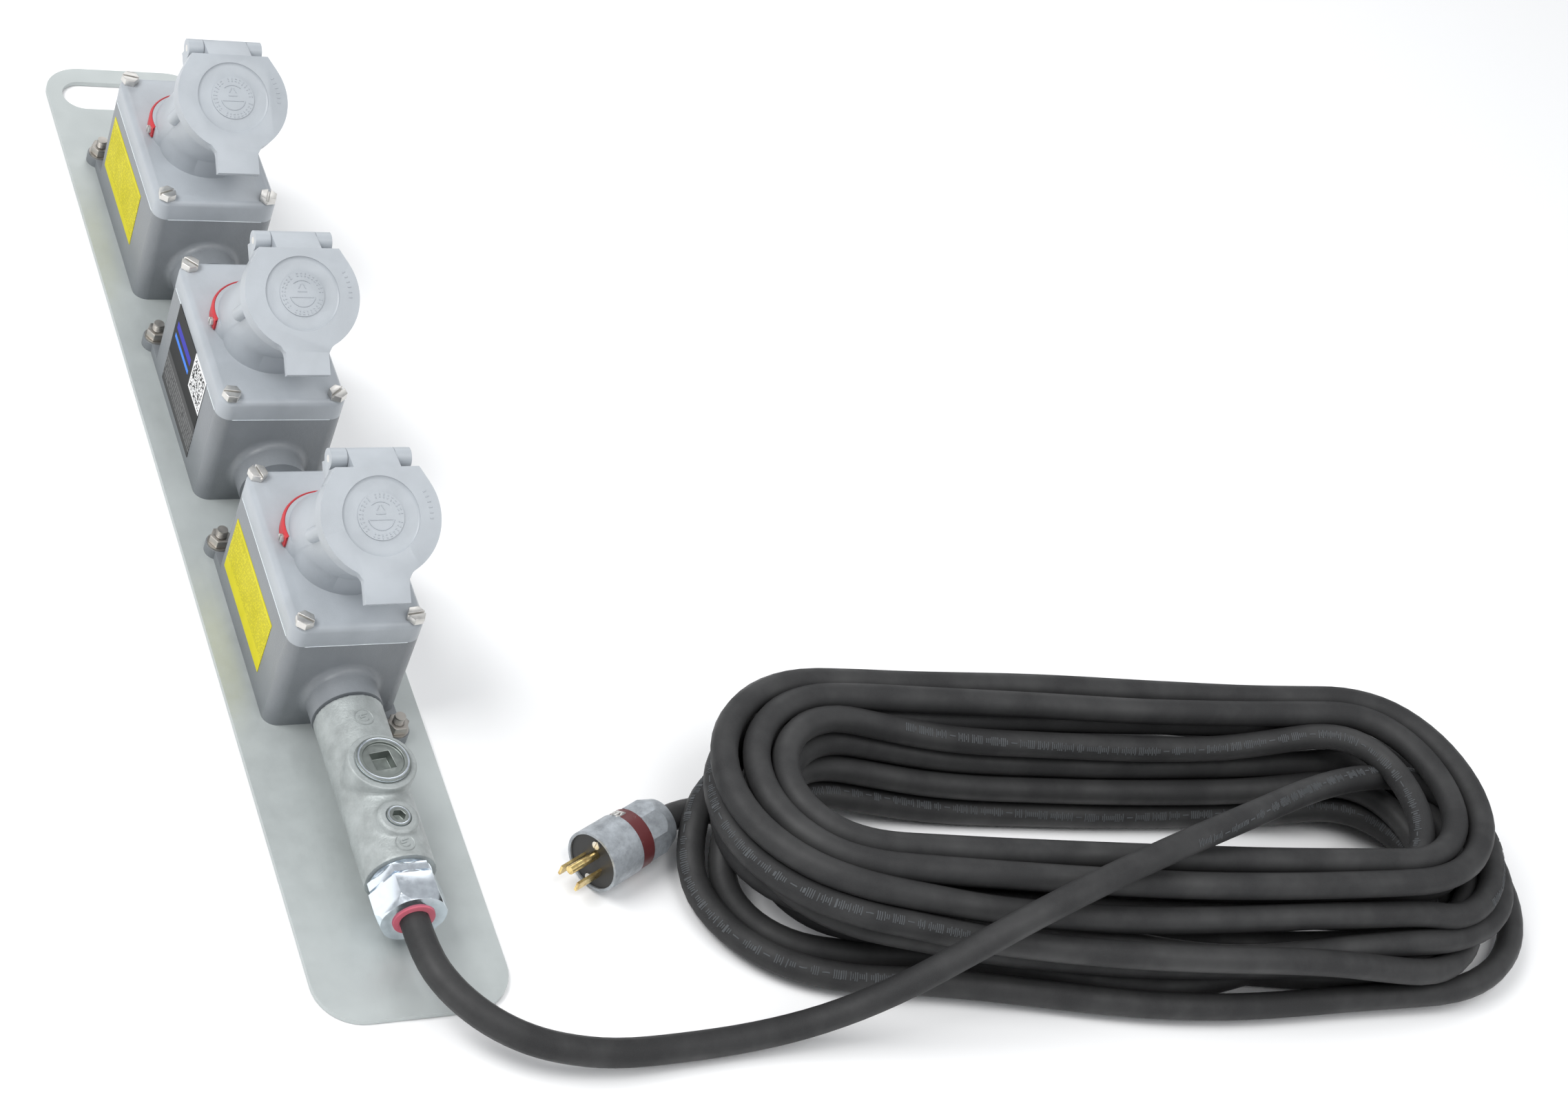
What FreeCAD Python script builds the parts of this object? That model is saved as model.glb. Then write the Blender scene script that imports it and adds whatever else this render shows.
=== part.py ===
import FreeCAD, Part
import math
import os
import re
import Sketcher

# Portable power distribution strip: three covered receptacle boxes in a row on a carrying
# plate, fed through a seal fitting and a cord gland by a long flexible cord with a plug.
#
# Frame: origin at the centre of the plate's underside, +Y along the plate towards the
# carrying slot, +Z up through the covers, millimetres throughout.

Vector = FreeCAD.Vector
Rotation = FreeCAD.Rotation
Placement = FreeCAD.Placement

doc = FreeCAD.newDocument("power_distribution_strip")
sheet = doc.addObject("Spreadsheet::Sheet", "sizes")

SIZES = {
    # carrying plate
    "plate_length": 744, "plate_width": 105, "plate_thick": 3, "plate_corner": 25,
    "slot_length": 86, "slot_width": 27, "slot_y": 345,
    # cast boxes, numbered from the cord end
    "first_box_y": -123.5, "box_pitch": 167, "box_width": 73, "box_length": 116,
    "box_height": 63.5, "box_corner": 8, "wall": 5, "screw_post": 9,
    "hub_radius": 19.5, "hub_reach": 16, "hub_z": 28, "pipe_radius": 13.3,
    "lug_x": 33, "lug_y": 70, "lug_radius": 7.5, "lug_thick": 6,
    "stud_radius": 3, "stud_height": 20, "stud_head_radius": 5, "stud_head_thick": 1.2,
    "nut_radius": 6.2, "nut_thick": 5, "washer_radius": 6.8, "washer_thick": 1.2,
    "ground_screw": 2, "ground_head": 4.8, "ground_head_thick": 3.1,
    "ground_screw_x": 18, "ground_screw_y": 29.5,
    # covers with their slanted receptacle tubes
    "cover_thick": 13.5, "cover_edge": 3.5, "screw_x": 30.5, "screw_y": 53,
    "screw_radius": 2.5, "screw_grip": 14, "head_radius": 5.4, "head_thick": 4.2,
    "head_slot": 1.3, "head_slot_depth": 1.8,
    "tilt": 34.2, "lid_centre_y": -38, "lid_centre_z": 143.6,
    "tube_radius": 26.5, "tube_bore": 22.5, "tube_length": 83, "rim_depth": 5,
    "foot_y": 5, "collar_radius": 28, "collar_height": 8.5,
    "toe_y": -10, "toe_radius": 25, "toe_height": 19,
    "rib_radius": 4.2, "rib_length": 24, "rib_y": -4, "rib_inset": 1,
    "ear_web_drop": 4, "ear_web_length": 18, "hole_gap": 0.2,
    # hinged lids
    "lid_radius": 32.6, "lid_depth": 9, "lid_plate": 3.2, "lid_hollow": 28,
    "shoulder_half": 22.6, "shoulder_y": 25.6, "recess_radius": 21, "recess_depth": 1.2,
    "badge_radius": 12.6, "badge_height": 0.6, "tab_half": 12.2, "tab_reach": 45.3,
    "tab_thick": 4.5, "tab_flare": 2.5, "tab_root": 7,
    "flank_y": 17, "flank_half": 27.9, "hinge_y": 32.3, "hinge_z": -12.5, "barrel_radius": 5.5,
    "knuckle_half": 12.8, "ear_inner": 13.1, "ear_outer": 21.8, "pin_radius": 2,
    "gasket_outer": 25.4, "gasket_inner": 21.4, "gasket_thick": 1.75,
    "spring_half": 5, "spring_radius": 3.3, "spring_wire": 0.8, "spring_gap": 1.2,
    "pin_gap": 0.08,
    # receptacle inside each tube
    "insert_radius": 22.3, "insert_face": 24, "insert_length": 22,
    "blade_spacing": 12.7, "blade_width": 6.6, "blade_gap": 2.2, "contact_thick": 0.8,
    "slots_y": -3, "slot_floor": 4, "contact_shift": 0.6, "contact_short": 6,
    "ground_y": 8, "ground_radius": 2.9, "ground_wall": 0.5,
    # keying band round the foot of each tube
    "band_thick": 1.2, "band_width": 6.5, "band_lift": 0.8, "band_end": 100,
    "band_screw": 2.4, "band_screw_head": 1.6, "band_screw_slot": 0.7, "band_screw_turn": 7,
    # labels on the left walls
    "label_thick": 0.3,
    # seal fitting
    "seal_start": -305, "seal_end": -199, "seal_radius": 19,
    "thread_grip": 14, "pipe_wall": 3,
    "fill_y": -248, "fill_boss": 18.2, "fill_top": 51.5, "fill_plug": 14.6, "fill_rim": 2.4,
    "fill_thread": 12.5, "fill_depth": 8, "fill_socket": 11, "fill_socket_depth": 5, "fill_dish": 1.5,
    "drain_y": -282, "drain_boss": 11, "drain_top": 49.5, "drain_plug": 6.4, "drain_depth": 7,
    "drain_proud": 0.8, "drain_socket": 3.5, "drain_socket_depth": 3.5,
    "compound_y": -272, "compound_length": 42,
    # cord gland and cord
    "gland_face": -331, "nut_length": 17, "gland_nut": 19.6, "nut_bevel": 2.2,
    "gland_hex": 18.5, "gland_hex_gap": 2, "gland_hex_length": 5, "gland_collar": 16,
    "bush_radius": 11, "bush_length": 24, "bush_proud": 0.8, "cord_radius": 7.7,
    "wire_radius": 1.8, "wire_spacing": 5, "wire_end": 20, "sheath_end": 2,
    "rise_radius": 1.4, "rise_length": 34, "rise_spacing": 4, "rise_y": -12,
    # coil of cord
    "coil_x": 437, "coil_y": -337, "coil_turn": -8, "coil_length": 550, "coil_width": 198,
    "coil_band": 50, "coil_height": 78, "coil_rounding": 16,
    # plug on the end of the cord
    "plug_x": 112, "plug_y": -298, "plug_heading": 25.6, "plug_radius": 17.5,
    "plug_front": 22, "plug_band": 9, "plug_rear": 21, "plug_neck": 13.5, "plug_shell": 1.6,
    "plug_bevel": 4, "band_sunk": 0.6, "cord_grip": 8, "face_sunk": 1,
    "blade_length": 17.5, "blade_thick": 1.5, "blade_height": 6.3, "blade_z": -6.5,
    "earth_pin": 2.4, "pin_length": 20, "pin_z": 5.5,
    "plug_screw_y": 2, "plug_screw_z": 11.5, "plug_screw_head": 1,
}

for row, (alias, value) in enumerate(SIZES.items(), start=1):
    sheet.set("A%d" % row, alias)
    sheet.set("B%d" % row, str(value))
    sheet.setAlias("B%d" % row, alias)
doc.recompute()

STATIONS = (1, 2, 3)
FAR = 200           # longer than anything that is cut right through
X_AXIS, Y_AXIS, Z_AXIS = Vector(1, 0, 0), Vector(0, 1, 0), Vector(0, 0, 1)
nodes = {}


# ---------------------------------------------------------------- small helpers

def size(alias):
    """A driving dimension, read from the sheet."""
    return float(getattr(sheet, alias))


def on_sheet(expression):
    """The expression with each alias written as a reference to the sheet."""
    return re.sub(r"[a-z_]{3,}", lambda word: "sizes." + word.group(), expression)


def node(label, piece):
    """Keep a finished piece as a sub-part that gets its own file."""
    piece.Label = label
    nodes[label] = piece
    return piece


def at(x=0, y=0, z=0, axis=Z_AXIS, angle=0, frame=None):
    """A placement in the given frame, or in the object's own."""
    here = Placement(Vector(x, y, z), Rotation(axis, angle))
    return here if frame is None else frame.multiply(here)


def station_y(station):
    return size("first_box_y") + (station - 1) * size("box_pitch")


def upright(station):
    """A box's frame: its centre on the plate's underside."""
    return at(y=station_y(station))


def tilted(station):
    """A lid's frame: the centre of its face, +Y towards its hinge, +Z out of the lid."""
    y = station_y(station) + size("lid_centre_y")
    return at(y=y, z=size("lid_centre_z"), axis=X_AXIS, angle=size("tilt"))


def primitive(kind, name, place, **sizes):
    """A Part primitive whose sizes are expressions on the sheet."""
    piece = doc.addObject("Part::" + kind, name)
    for prop, expression in sizes.items():
        piece.setExpression(prop, on_sheet(expression))
    piece.Placement = place
    return piece


def cylinder(name, place, radius, height):
    return primitive("Cylinder", name, place, Radius=radius, Height=height)


def block(name, frame, x, y, z, length, width, height, axis=Z_AXIS, angle=0):
    """A box centred on x and y, standing on z."""
    piece = primitive("Box", name, at(), Length=length, Width=width, Height=height)
    doc.recompute([piece])
    centre = at(-piece.Length.Value / 2, -piece.Width.Value / 2, 0)
    piece.Placement = at(x, y, z, axis, angle, frame).multiply(centre)
    return piece


def fuse(name, pieces):
    union = doc.addObject("Part::MultiFuse", name)
    union.Shapes = pieces
    return union


def cut(name, base, tools):
    difference = doc.addObject("Part::Cut", name)
    difference.Base = base
    difference.Tool = tools[0] if len(tools) == 1 else fuse(name + "_tools", tools)
    return difference


def rounded(name, base, radius, chosen):
    """Part fillet of the base's edges that the test chooses."""
    doc.recompute()
    fillet = doc.addObject("Part::Fillet", name)
    fillet.Base = base
    edges = [n for n, edge in enumerate(base.Shape.Edges, start=1) if chosen(edge)]
    fillet.Edges = [(n, radius, radius) for n in edges]
    return fillet


def group(label, master, places):
    """Identical pieces as one sub-part of separate solids."""
    doc.recompute()
    copies = []
    for place in places:
        copy = master.Shape.copy()
        copy.Placement = place.multiply(copy.Placement)
        copies.append(copy)
    together = doc.addObject("Part::Feature", label)
    together.Shape = Part.makeCompound(copies)
    return node(label, together)


def feature(label, shape):
    piece = doc.addObject("Part::Feature", label)
    piece.Shape = shape
    return node(label, piece)


# PartDesign helpers

def new_body(label, place=None):
    body = doc.addObject("PartDesign::Body", label)
    body.Placement = place or at()
    return node(label, body)


def new_sketch(body, name, role="XY_Plane", lift=0):
    """A sketch on one of the body's own planes, lifted along the plane's normal."""
    sketch = body.newObject("Sketcher::SketchObject", name)
    support = [item for item in body.Origin.OriginFeatures if item.Role == role]
    sketch.AttachmentSupport = [(support[0], "")]
    sketch.MapMode = "FlatFace"
    sketch.AttachmentOffset = at(z=lift)
    return sketch


def driven(sketch, kind, places, guess, expression):
    """A dimension of the sketch, driven by the sheet."""
    index = sketch.addConstraint(Sketcher.Constraint(kind, *places, guess))
    sketch.setExpression("Constraints[%d]" % index, on_sheet(expression))


def rectangle(sketch, width, height, x0, y0, guess):
    """A rectangle given by its sizes and its lower left corner; guess is (w, h, x0, y0)."""
    w, h, x, y = guess
    corners = [Vector(x, y), Vector(x + w, y), Vector(x + w, y + h), Vector(x, y + h)]
    first = len(sketch.Geometry)
    for start, end in zip(corners, corners[1:] + corners[:1]):
        sketch.addGeometry(Part.LineSegment(start, end))
    for side in range(4):
        following = first + (side + 1) % 4
        sketch.addConstraint(Sketcher.Constraint("Coincident", first + side, 2, following, 1))
        kind = "Horizontal" if side % 2 == 0 else "Vertical"
        sketch.addConstraint(Sketcher.Constraint(kind, first + side))
    driven(sketch, "DistanceX", (first, 1, first, 2), w, width)
    driven(sketch, "DistanceY", (first + 1, 1, first + 1, 2), h, height)
    driven(sketch, "DistanceX", (-1, 1, first, 1), x, x0)
    driven(sketch, "DistanceY", (-1, 1, first, 1), y, y0)


def circle(sketch, radius, guess, x=None, y=None):
    """A circle; x and y are expressions, or None on that axis. guess is (r, x, y)."""
    centre = Vector(guess[1], guess[2])
    index = sketch.addGeometry(Part.Circle(centre, Z_AXIS, guess[0]))
    driven(sketch, "Radius", (index,), guess[0], radius)
    if x is None:
        sketch.addConstraint(Sketcher.Constraint("PointOnObject", index, 3, -2))
    else:
        driven(sketch, "DistanceX", (-1, 1, index, 3), guess[1], x)
    if y is None:
        sketch.addConstraint(Sketcher.Constraint("PointOnObject", index, 3, -1))
    else:
        driven(sketch, "DistanceY", (-1, 1, index, 3), guess[2], y)


def pad(body, sketch, length, downwards=False, both_ways=False):
    feature_ = body.newObject("PartDesign::Pad", sketch.Name + "_pad")
    feature_.Profile = sketch
    feature_.setExpression("Length", on_sheet(length))
    feature_.Reversed = downwards
    feature_.Midplane = both_ways
    return feature_


def pocket(body, sketch, depth, upwards=False, both_ways=False):
    """A pocket, checked to remove material."""
    doc.recompute()
    before = body.Shape.Volume
    feature_ = body.newObject("PartDesign::Pocket", sketch.Name + "_pocket")
    feature_.Profile = sketch
    feature_.setExpression("Length", on_sheet(depth))
    feature_.Reversed = upwards
    feature_.Midplane = both_ways
    doc.recompute()
    if body.Shape.Volume > before - 1e-6:
        raise RuntimeError(feature_.Name + " removes nothing")
    return feature_


def body_fillet(body, radius, chosen):
    doc.recompute()
    base = body.Tip
    edges = ["Edge%d" % n for n, e in enumerate(base.Shape.Edges, start=1) if chosen(e)]
    fillet = body.newObject("PartDesign::Fillet", body.Name + "_fillet")
    fillet.Base = (base, edges)
    fillet.setExpression("Radius", on_sheet(radius))
    return fillet


def is_upright(edge):
    """True for a straight edge along Z."""
    if not isinstance(edge.Curve, Part.Line):
        return False
    return abs(abs(edge.Curve.Direction.z) - 1) < 1e-6


# ---------------------------------------------------------------- carrying plate

def make_plate():
    body = new_body("mounting_plate")
    outline = new_sketch(body, "plate_outline")
    rectangle(outline, "plate_width", "plate_length", "-plate_width / 2", "-plate_length / 2",
              (105, 744, -52, -372))
    pad(body, outline, "plate_thick")
    body_fillet(body, "plate_corner", is_upright)

    slot = new_sketch(body, "carrying_slot")
    half = (size("slot_length") - size("slot_width")) / 2
    end_radius, y = size("slot_width") / 2, size("slot_y")
    high, low = y + end_radius, y - end_radius
    upper = slot.addGeometry(Part.LineSegment(Vector(half, high), Vector(-half, high)))
    lower = slot.addGeometry(Part.LineSegment(Vector(-half, low), Vector(half, low)))
    ends = []
    for side, start in ((-1, math.pi / 2), (1, -math.pi / 2)):
        ring = Part.Circle(Vector(side * half, y), Z_AXIS, end_radius)
        ends.append(slot.addGeometry(Part.ArcOfCircle(ring, start, start + math.pi)))
    left, right = ends
    for before, after in ((upper, left), (left, lower), (lower, right), (right, upper)):
        slot.addConstraint(Sketcher.Constraint("Tangent", before, 2, after, 1))
    slot.addConstraint(Sketcher.Constraint("Horizontal", upper))
    slot.addConstraint(Sketcher.Constraint("Symmetric", left, 3, right, 3, -2))
    driven(slot, "Radius", (left,), end_radius, "slot_width / 2")
    driven(slot, "DistanceX", (left, 3, right, 3), 2 * half, "slot_length - slot_width")
    driven(slot, "DistanceY", (-1, 1, left, 3), y, "slot_y")
    pocket(body, slot, "plate_thick", upwards=True)

    for station in STATIONS:
        for side in (1, -1):
            where = "%d_%s" % (station, "near" if side > 0 else "far")
            centre_y = "first_box_y + %d * box_pitch - %d * lug_y" % (station - 1, side)
            guess = (size("lug_x") * side, station_y(station) - side * size("lug_y"))
            for part, radius, depth in (("bolt_hole", "stud_radius", "plate_thick"),
                                        ("head_seat", "stud_head_radius", "stud_head_thick")):
                sketch = new_sketch(body, "%s_%s" % (part, where))
                circle(sketch, radius, (3, *guess), x="%d * lug_x" % side, y=centre_y)
                pocket(body, sketch, depth, upwards=True)
    return body


# ---------------------------------------------------------------- cast boxes

def make_box(station):
    """A cast box: open on top, screw posts in its corners, hubs on its ends, two lugs."""
    body = new_body("box_body_%d" % station, at(y=station_y(station), z=size("plate_thick")))
    prefix = "box_%d_" % station

    outline = new_sketch(body, prefix + "outline")
    rectangle(outline, "box_width", "box_length", "-box_width / 2", "-box_length / 2",
              (73, 116, -36, -58))
    pad(body, outline, "box_height")
    body_fillet(body, "box_corner", is_upright)

    # hubs: threaded collars at the ends that are piped to a neighbour
    hub_z = "hub_z - plate_thick"
    guess_z = size("hub_z") - size("plate_thick")
    ends = (1, -1) if station < STATIONS[-1] else (1,)
    depth = size("box_length") / 2 + size("hub_reach")
    for end in ends:
        collar = new_sketch(body, "%shub_%s" % (prefix, "near" if end > 0 else "far"),
                            "XZ_Plane", lift=end * depth)
        circle(collar, "hub_radius", (19, 0, guess_z), y=hub_z)
        pad(body, collar, "hub_reach + 1", downwards=end > 0)

    # lugs at two opposite corners of the foot
    for end in (1, -1):
        side = "near" if end > 0 else "far"
        lug = new_sketch(body, "%slug_%s" % (prefix, side))
        circle(lug, "lug_radius", (7, end * 33, -end * 70), x="%d * lug_x" % end, y="-%d * lug_y" % end)
        pad(body, lug, "lug_thick")
        web = new_sketch(body, "%sweb_%s" % (prefix, side))
        x0 = "lug_x - lug_radius" if end > 0 else "-lug_x - lug_radius"
        y0 = "-lug_y" if end > 0 else "box_length / 2 - box_corner - 1"
        rectangle(web, "lug_radius + box_width / 2 - lug_x", "lug_y - box_length / 2 + box_corner + 1",
                  x0 if end > 0 else "-box_width / 2", y0, (11, 20, 25 * end, -70 * end))
        pad(body, web, "lug_thick")

    # cavity with solid corners for the cover screws
    cavity = new_sketch(body, prefix + "cavity", lift=size("box_height"))
    rectangle(cavity, "box_width - 2 * wall", "box_length - 2 * wall - 2 * screw_post",
              "wall - box_width / 2", "wall + screw_post - box_length / 2", (63, 88, -31, -44))
    pocket(body, cavity, "box_height - wall")
    ends_room = new_sketch(body, prefix + "cavity_ends", lift=size("box_height"))
    rectangle(ends_room, "box_width - 2 * wall - 2 * screw_post", "box_length - 2 * wall",
              "wall + screw_post - box_width / 2", "wall - box_length / 2", (45, 106, -22, -53))
    pocket(body, ends_room, "box_height - wall")

    for end in ends:
        bore = new_sketch(body, "%sbore_%s" % (prefix, "near" if end > 0 else "far"),
                          "XZ_Plane", lift=end * depth)
        circle(bore, "pipe_radius", (13, 0, guess_z), y=hub_z)
        pocket(body, bore, "hub_reach + wall + 1", upwards=end < 0)

    for end in (1, -1):
        hole = new_sketch(body, "%slug_hole_%s" % (prefix, "near" if end > 0 else "far"))
        circle(hole, "stud_radius", (3, end * 33, -end * 70), x="%d * lug_x" % end,
               y="-%d * lug_y" % end)
        pocket(body, hole, "lug_thick", upwards=True)
    holes = new_sketch(body, prefix + "screw_holes", lift=size("box_height"))
    for sx in (1, -1):
        for sy in (1, -1):
            circle(holes, "screw_radius", (2.5, 30 * sx, 53 * sy), x="%d * screw_x" % sx,
                   y="%d * screw_y" % sy)
    pocket(body, holes, "screw_grip")
    ground = new_sketch(body, prefix + "ground_hole", lift=size("wall"))
    circle(ground, "ground_screw", (2, 18, 29.5), x="ground_screw_x", y="ground_screw_y")
    pocket(body, ground, "wall / 2")
    return body


def make_box_hardware():
    """Studs through the plate, with a washer and a nut on each lug."""
    lugs = []
    for station in STATIONS:
        for side in (1, -1):
            lugs.append(at(side * size("lug_x"), station_y(station) - side * size("lug_y")))
    stud = fuse("stud", [
        cylinder("stud_shank", at(), "stud_radius", "stud_height"),
        cylinder("stud_head", at(), "stud_head_radius", "stud_head_thick")])
    group("lug_studs", stud, lugs)

    washer_z = size("plate_thick") + size("lug_thick")
    washer = cut("washer", cylinder("washer_disc", at(z=washer_z), "washer_radius", "washer_thick"),
                 [cylinder("washer_hole", at(z=washer_z), "stud_radius", "washer_thick")])
    group("lug_washers", washer, lugs)

    nut_z = washer_z + size("washer_thick")
    hexagon = primitive("Prism", "nut_hexagon", at(z=nut_z), Circumradius="nut_radius", Height="nut_thick")
    nut = cut("nut", hexagon, [cylinder("nut_thread", at(z=nut_z), "stud_radius", "nut_thick")])
    group("lug_nuts", nut, lugs)

    screw_z = size("plate_thick") + size("wall")
    head = primitive("Prism", "ground_head", at(z=screw_z), Circumradius="ground_head",
                     Height="ground_head_thick")
    shank = cylinder("ground_shank", at(z=screw_z - size("wall") / 2), "ground_screw",
                     "wall / 2 + ground_head_thick / 2")
    ground = fuse("ground_screw", [head, shank])
    spots = [at(size("ground_screw_x"), station_y(n) + size("ground_screw_y")) for n in STATIONS]
    group("ground_screws", ground, spots)


def make_cover_screws():
    """Slotted hexagon-head screws at the covers' corners."""
    top = size("plate_thick") + size("box_height") + size("cover_thick")
    head = primitive("Prism", "screw_head", at(z=top), Circumradius="head_radius", Height="head_thick")
    shank = cylinder("screw_shank", at(z=top - size("cover_thick") - size("screw_grip")),
                     "screw_radius", "cover_thick + screw_grip + 1")
    slot = block("screw_slot", None, 0, 0, top + size("head_thick") - size("head_slot_depth"),
                 "3 * head_radius", "head_slot", "head_slot_depth + 1")
    screw = cut("cover_screw", fuse("screw_solid", [head, shank]), [slot])
    for station in STATIONS:
        places = []
        for number, (sx, sy) in enumerate(((-1, -1), (1, -1), (1, 1), (-1, 1))):
            turned = 110 + 47 * number + 31 * station
            places.append(at(sx * size("screw_x"), sy * size("screw_y"), 0, Z_AXIS, turned, upright(station)))
        group("cover_screws_%d" % station, screw, places)


# ---------------------------------------------------------------- covers and their tubes

def make_cover(station):
    """A box cover cast in one with its slanted tube and the tube's hinge ears."""
    name = "cover_%d_" % station
    level, lean = upright(station), tilted(station)
    seam = size("plate_thick") + size("box_height")
    top = seam + size("cover_thick")

    slab = block(name + "slab", level, 0, 0, seam, "box_width", "box_length", "cover_thick")
    slab_corners = rounded(name + "corners", slab, size("box_corner"), is_upright)
    slab_edge = rounded(name + "edge", slab_corners, size("cover_edge"),
                        lambda edge: all(abs(v.Point.z - top) < 1e-6 for v in edge.Vertexes))
    tube_z = -size("rim_depth") - size("tube_length")
    tube = cylinder(name + "tube", at(z=tube_z, frame=lean), "tube_radius", "tube_length")
    collar = cylinder(name + "collar", at(y=size("foot_y"), z=top, frame=level), "collar_radius",
                      "collar_height")
    toe = cylinder(name + "toe", at(y=size("toe_y"), z=top, frame=level), "toe_radius", "toe_height")
    below = block(name + "below", level, 0, 0, seam - FAR, "3 * box_width", "3 * box_length", str(FAR))
    solid = cut(name + "outside", fuse(name + "raw", [slab_edge, tube, collar, toe]), [below])

    ears = []
    for side in (-1, 1):
        x = -size("ear_outer") if side < 0 else size("ear_inner")
        barrel = at(x, size("hinge_y"), size("hinge_z"), Y_AXIS, 90, lean)
        width = "ear_outer - ear_inner"
        ears.append(cylinder("%sbarrel_%d" % (name, side), barrel, "barrel_radius", width))
        middle = side * (size("ear_inner") + size("ear_outer")) / 2
        web_y = size("hinge_y") - size("ear_web_length") / 2
        web_z = size("hinge_z") - size("barrel_radius") - size("ear_web_drop")
        ears.append(block("%sear_%d" % (name, side), lean, middle, web_y, web_z,
                          width, "ear_web_length", "barrel_radius + ear_web_drop"))
    rib_x = size("rib_inset") - size("tube_radius")
    rib_z = -size("lid_depth") - size("rib_length") - size("rib_inset")
    rib = cylinder(name + "rib", at(rib_x, size("rib_y"), rib_z, frame=lean), "rib_radius", "rib_length")
    whole = fuse(name + "whole", [solid, rib] + ears)

    bore = cylinder(name + "bore", at(z=-FAR / 2, frame=lean), "tube_bore", str(FAR))
    pins = cylinder(name + "pin_bore", at(-FAR / 2, size("hinge_y"), size("hinge_z"), Y_AXIS, 90, lean),
                    "pin_radius", str(FAR))
    holes = [bore, pins]
    for sx in (1, -1):
        for sy in (1, -1):
            place = at(sx * size("screw_x"), sy * size("screw_y"), seam, frame=level)
            holes.append(cylinder("%shole_%d_%d" % (name, sx, sy), place, "screw_radius + hole_gap",
                                  "cover_thick"))
    node("receptacle_cover_%d" % station, cut("receptacle_cover_%d" % station, whole, holes))


def make_band(station):
    """A keying band: a part ring round the far side of the tube's foot, with a screw at each end."""
    top = size("plate_thick") + size("box_height") + size("cover_thick")
    foot = at(y=size("foot_y"), z=top + size("band_lift"), frame=upright(station))
    name = "band_%d_" % station
    ring = primitive("Cylinder", name + "ring", foot.multiply(at(angle=90 - size("band_end"))),
                     Radius="collar_radius + band_thick", Height="band_width", Angle="2 * band_end")
    core = cylinder(name + "core", foot, "collar_radius", "band_width")
    lean = tilted(station)
    tube = cylinder(name + "tube", at(z=-size("rim_depth") - size("tube_length"), frame=lean),
                    "tube_radius + hole_gap", "tube_length")
    node("keying_band_%d" % station, cut("keying_band_%d" % station, ring, [core, tube]))
    screws = []
    for end in (-1, 1):
        around = at(angle=90 + end * (size("band_end") - size("band_screw_turn")))
        outwards = at(x=size("collar_radius") + size("band_thick"), z=size("band_width") / 2,
                      axis=Y_AXIS, angle=90)
        screws.append(foot.multiply(around).multiply(outwards))
    return screws


def make_band_screws(places):
    head = primitive("Cylinder", "band_screw_head", at(), Radius="band_screw", Height="band_screw_head")
    slot = block("band_screw_cut", None, 0, 0, size("band_screw_head") / 2, "3 * band_screw",
                 "band_screw_slot", "band_screw_head")
    group("band_screws", cut("band_screw", head, [slot]), places)


# ---------------------------------------------------------------- lids

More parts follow.
